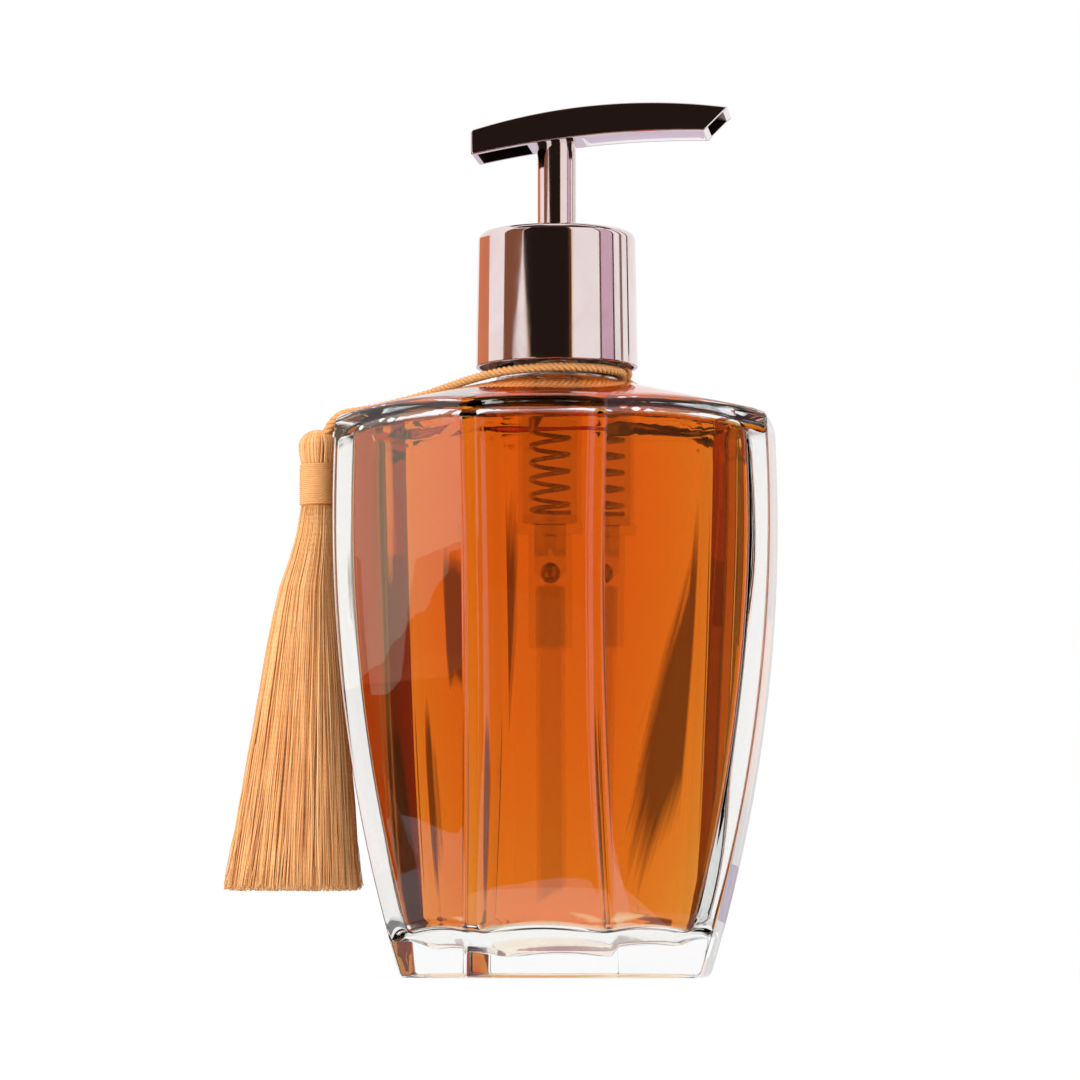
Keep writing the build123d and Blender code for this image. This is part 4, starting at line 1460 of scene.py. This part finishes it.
# Bent walls and sheets on the table; turns are from and to, rises are low and high
walls = [
    {"name": "goldFront", "tone": (0.50, 0.22, 0.05), "turns": (-30, 22), "rises": (-3, 10)},
    {"name": "brownFront", "tone": (0.30, 0.12, 0.03), "turns": (-50, 22), "rises": (10, 50)},
    {"name": "goldRight", "tone": (0.60, 0.30, 0.08), "turns": (62, 126), "rises": (-3, 45)},
    {"name": "brownLeft", "tone": (0.45, 0.18, 0.05), "turns": (-82, -51), "rises": (-3, 45)},
    {"name": "brownSide", "tone": (0.25, 0.10, 0.03), "turns": (-118, -82), "rises": (-3, 9)},
    {
        "name": "ceilingShade",
        "tone": (0.07, 0.04, 0.03),
        "turns": (-112, 96),
        "rises": (51, 80),
        "seen": "mirror",
    },
]
darkTable, paleTable = (0.022, 0.012, 0.008), (0.70, 0.63, 0.75)
brownTable, goldTable = (0.40, 0.20, 0.06), (0.6, 0.33, 0.08)
tables = [
    {"name": "tableLeft", "tone": darkTable, "turns": (-140, -58), "near": 0.07, "seen": "mirror"},
    {"name": "tableFront", "tone": darkTable, "turns": (-30, 22), "near": 0.07, "seen": "mirror"},
    {"name": "tableRight", "tone": darkTable, "turns": (62, 125), "near": 0.07, "seen": "mirror"},
    {"name": "tableBack", "tone": paleTable, "turns": (140, 220), "near": 0.4, "seen": "mirror"},
    {"name": "brownTableLeft", "tone": brownTable, "turns": (-140, -58), "near": 0.3, "seen": "glass"},
    {"name": "goldTableFront", "tone": goldTable, "turns": (-30, 22), "near": 0.07, "seen": "glass"},
    {"name": "goldTableRight", "tone": goldTable, "turns": (62, 125), "near": 0.07, "seen": "glass"},
]
# Soft dark shapes behind the bottle, seen only through the glass; across and height are millimetres
shades = [
    {"name": "shadeLeft", "across": 34, "height": 62, "half": (9, 20), "lean": 6},
    {"name": "shadeLeftLine", "across": 45.5, "height": 92, "half": (1.6, 16), "lean": 2},
    {"name": "shadeRight", "across": -25, "height": 80, "half": (11, 42), "lean": -24},
]
shadeLook = {
    "tone": (0.22, 0.17, 0.11),
    "behind": 0.16,
    "streaks": (14.0, 2.2, 1.0),
    "streakShare": 0.55,
    "fade": {"From Min": 0.42, "From Max": 0.72},
}


def seenDirectly(tree):
    # one for rays that come straight from the camera, from a mirror or through glass
    ray = addNode(tree, "ShaderNodeLightPath")
    first = addMath(tree, "ADD", (ray, "Is Camera Ray"), (ray, "Is Glossy Ray"), use_clamp=True)
    return addMath(tree, "ADD", (first, 0), (ray, "Is Transmission Ray"), use_clamp=True)


def mixShaders(tree, output, share, first, second):
    mix = addNode(tree, "ShaderNodeMixShader", {0: (share, 0), 1: (first, 0), 2: (second, 0)})
    feed(tree, output, {"Surface": (mix, 0)})


def floorShader(name):
    material, tree, output = emptyMaterial(name)
    part = addMath(tree, "MULTIPLY", (seenDirectly(tree), 0), studio["floorShare"])
    matt = addNode(tree, "ShaderNodeBsdfDiffuse", {"Color": white})
    glow = addNode(tree, "ShaderNodeEmission", {"Color": white, "Strength": 1.0})
    mixShaders(tree, output, part, matt, glow)
    return material


def cardShader(name, tone):
    material, tree, output = emptyMaterial(name)
    level = max(max(tone), 1.0)
    colour = (*(c / level for c in tone), 1.0)
    glow = addNode(tree, "ShaderNodeEmission", {"Color": colour, "Strength": level})
    feed(tree, output, {"Surface": (glow, 0)})
    return material


def shadeShader(name):
    # a dark shape with a soft streaky edge
    material, tree, output = emptyMaterial(name)
    place = (addNode(tree, "ShaderNodeUVMap"), 0)
    middle = addMapping(tree, place, Location=(-1.0, -1.0, 0.0), Scale=(2.0, 2.0, 1.0))
    fall = addNode(tree, "ShaderNodeTexGradient", {"Vector": (middle, 0)}, gradient_type="SPHERICAL")
    stretch = addMapping(tree, place, Scale=shadeLook["streaks"])
    streaks = addNoise(tree, (stretch, 0), 1.0, 4.0)
    lift = addMath(tree, "MULTIPLY_ADD", (streaks, "Fac"), shadeLook["streakShare"], (fall, "Fac"))
    share = addRange(tree, (lift, 0), shadeLook["fade"])
    clear = addNode(tree, "ShaderNodeBsdfTransparent")
    glow = addNode(tree, "ShaderNodeEmission", {"Color": (*shadeLook["tone"], 1.0), "Strength": 1.0})
    mixShaders(tree, output, share, clear, glow)
    return material


def stagePiece(name, points, faces, material):
    mesh = bpy.data.meshes.new(name)
    mesh.from_pydata([tuple(p) for p in points], [], faces)
    mesh.materials.append(material)
    piece = linkPiece(name, mesh)
    return piece


def showOnly(panel, seen):
    panel.visible_camera = panel.visible_diffuse = panel.visible_shadow = False
    panel.visible_glossy = seen != "glass"
    panel.visible_transmission = seen != "mirror"


def cardPoint(turn, rise, away):
    return aroundCamera(turn, away, studio["middle"] + away * math.tan(math.radians(rise)))


def finelyOutlined(outline, most):
    # long sides of an outline cut short, so that the card bends round the bottle
    points = []
    for (t0, r0), (t1, r1) in zip(outline, outline[1:] + outline[:1]):
        count = max(1, math.ceil(abs(t1 - t0) / most))
        points.extend((t0 + (t1 - t0) * i / count, r0 + (r1 - r0) * i / count) for i in range(count))
    return points


def addCard(card):
    points = [cardPoint(t, r, card["away"]) for t, r in finelyOutlined(card["outline"], 3)]
    material = cardShader(card["name"], card["tone"])
    panel = stagePiece(card["name"], points, [tuple(range(len(points)))], material)
    work = bmesh.new()
    work.from_mesh(panel.data)
    bmesh.ops.triangulate(work, faces=work.faces)
    work.to_mesh(panel.data)
    work.free()
    showOnly(panel, card.get("seen", "mirror"))


def addStrip(strip, steps, edgesAt):
    # a panel between two edges that run round the bottle
    points, faces = [], []
    start, end = strip["turns"]
    for step in range(steps + 1):
        points.extend(edgesAt(start + (end - start) * step / steps))
        if step:
            faces.append((2 * step - 2, 2 * step, 2 * step + 1, 2 * step - 1))
    panel = stagePiece(strip["name"], points, faces, cardShader(strip["name"], strip["tone"]))
    showOnly(panel, strip.get("seen", "glass"))


def addShade(shade, material):
    lean = math.radians(shade["lean"])
    points = []
    for right, rise in square:
        right, rise = right * shade["half"][0], rise * shade["half"][1]
        across = shade["across"] + right * math.cos(lean) - rise * math.sin(lean)
        height = shade["height"] + right * math.sin(lean) + rise * math.cos(lean)
        behind = aroundCamera(180, shadeLook["behind"], height * mm)
        points.append(behind + aroundCamera(90, across * mm))
    panel = stagePiece(shade["name"], points, [(0, 1, 2, 3)], material)
    layer = panel.data.uv_layers.new(name="shape")
    layer.data.foreach_set("uv", np.array([0, 0, 1, 0, 1, 1, 0, 1], np.float32))
    showOnly(panel, "glass")


def addLamp(box):
    lamp = bpy.data.lights.new(box["name"], "AREA")
    lamp.shape = "RECTANGLE"
    lamp.size, lamp.size_y = box["wide"], studio["lampTall"]
    lamp.energy = studio["lampPower"]
    holder = linkPiece(box["name"], lamp)
    holder.location = aroundCamera(box["turn"], studio["lampAway"], studio["lampHeight"])
    aim = Vector((0, 0, studio["middle"])) - holder.location
    holder.rotation_euler = aim.to_track_quat("-Z", "Y").to_euler()
    holder.visible_glossy = False
    holder.visible_transmission = False


square = ((-1, -1), (1, -1), (1, 1), (-1, 1))
floorHalf, floorDrop = studio["floorHalf"], studio["floorDrop"]
floorCorners = [(floorHalf * x, floorHalf * y, -floorDrop) for x, y in square]
stagePiece("paleFloor", floorCorners, [(0, 1, 2, 3)], floorShader("paleFloor"))
for card in cards:
    addCard(card)
for wall in walls:
    away = studio["wallAway"]
    addStrip(wall, 30, lambda turn: [cardPoint(turn, rise, away) for rise in wall["rises"]])
softShade = shadeShader("softShade")
for shade in shades:
    addShade(shade, softShade)
for table in tables:
    ends, lift = (table["near"], studio["tableFar"]), studio["tableLift"][table["seen"]]
    addStrip(table, 40, lambda turn: [aroundCamera(turn, reach, lift) for reach in ends])
for box in studio["lamps"]:
    addLamp(box)

world = bpy.data.worlds.new("whiteSurround")
scene.world = world
world.use_nodes = True
tree = world.node_tree
tree.nodes.clear()
soft = addNode(tree, "ShaderNodeBackground", {"Color": white, "Strength": studio["fill"]})
plain = addNode(tree, "ShaderNodeBackground", {"Color": white, "Strength": 1.0})
mixShaders(tree, addNode(tree, "ShaderNodeOutputWorld"), seenDirectly(tree), soft, plain)
print("studio lit")
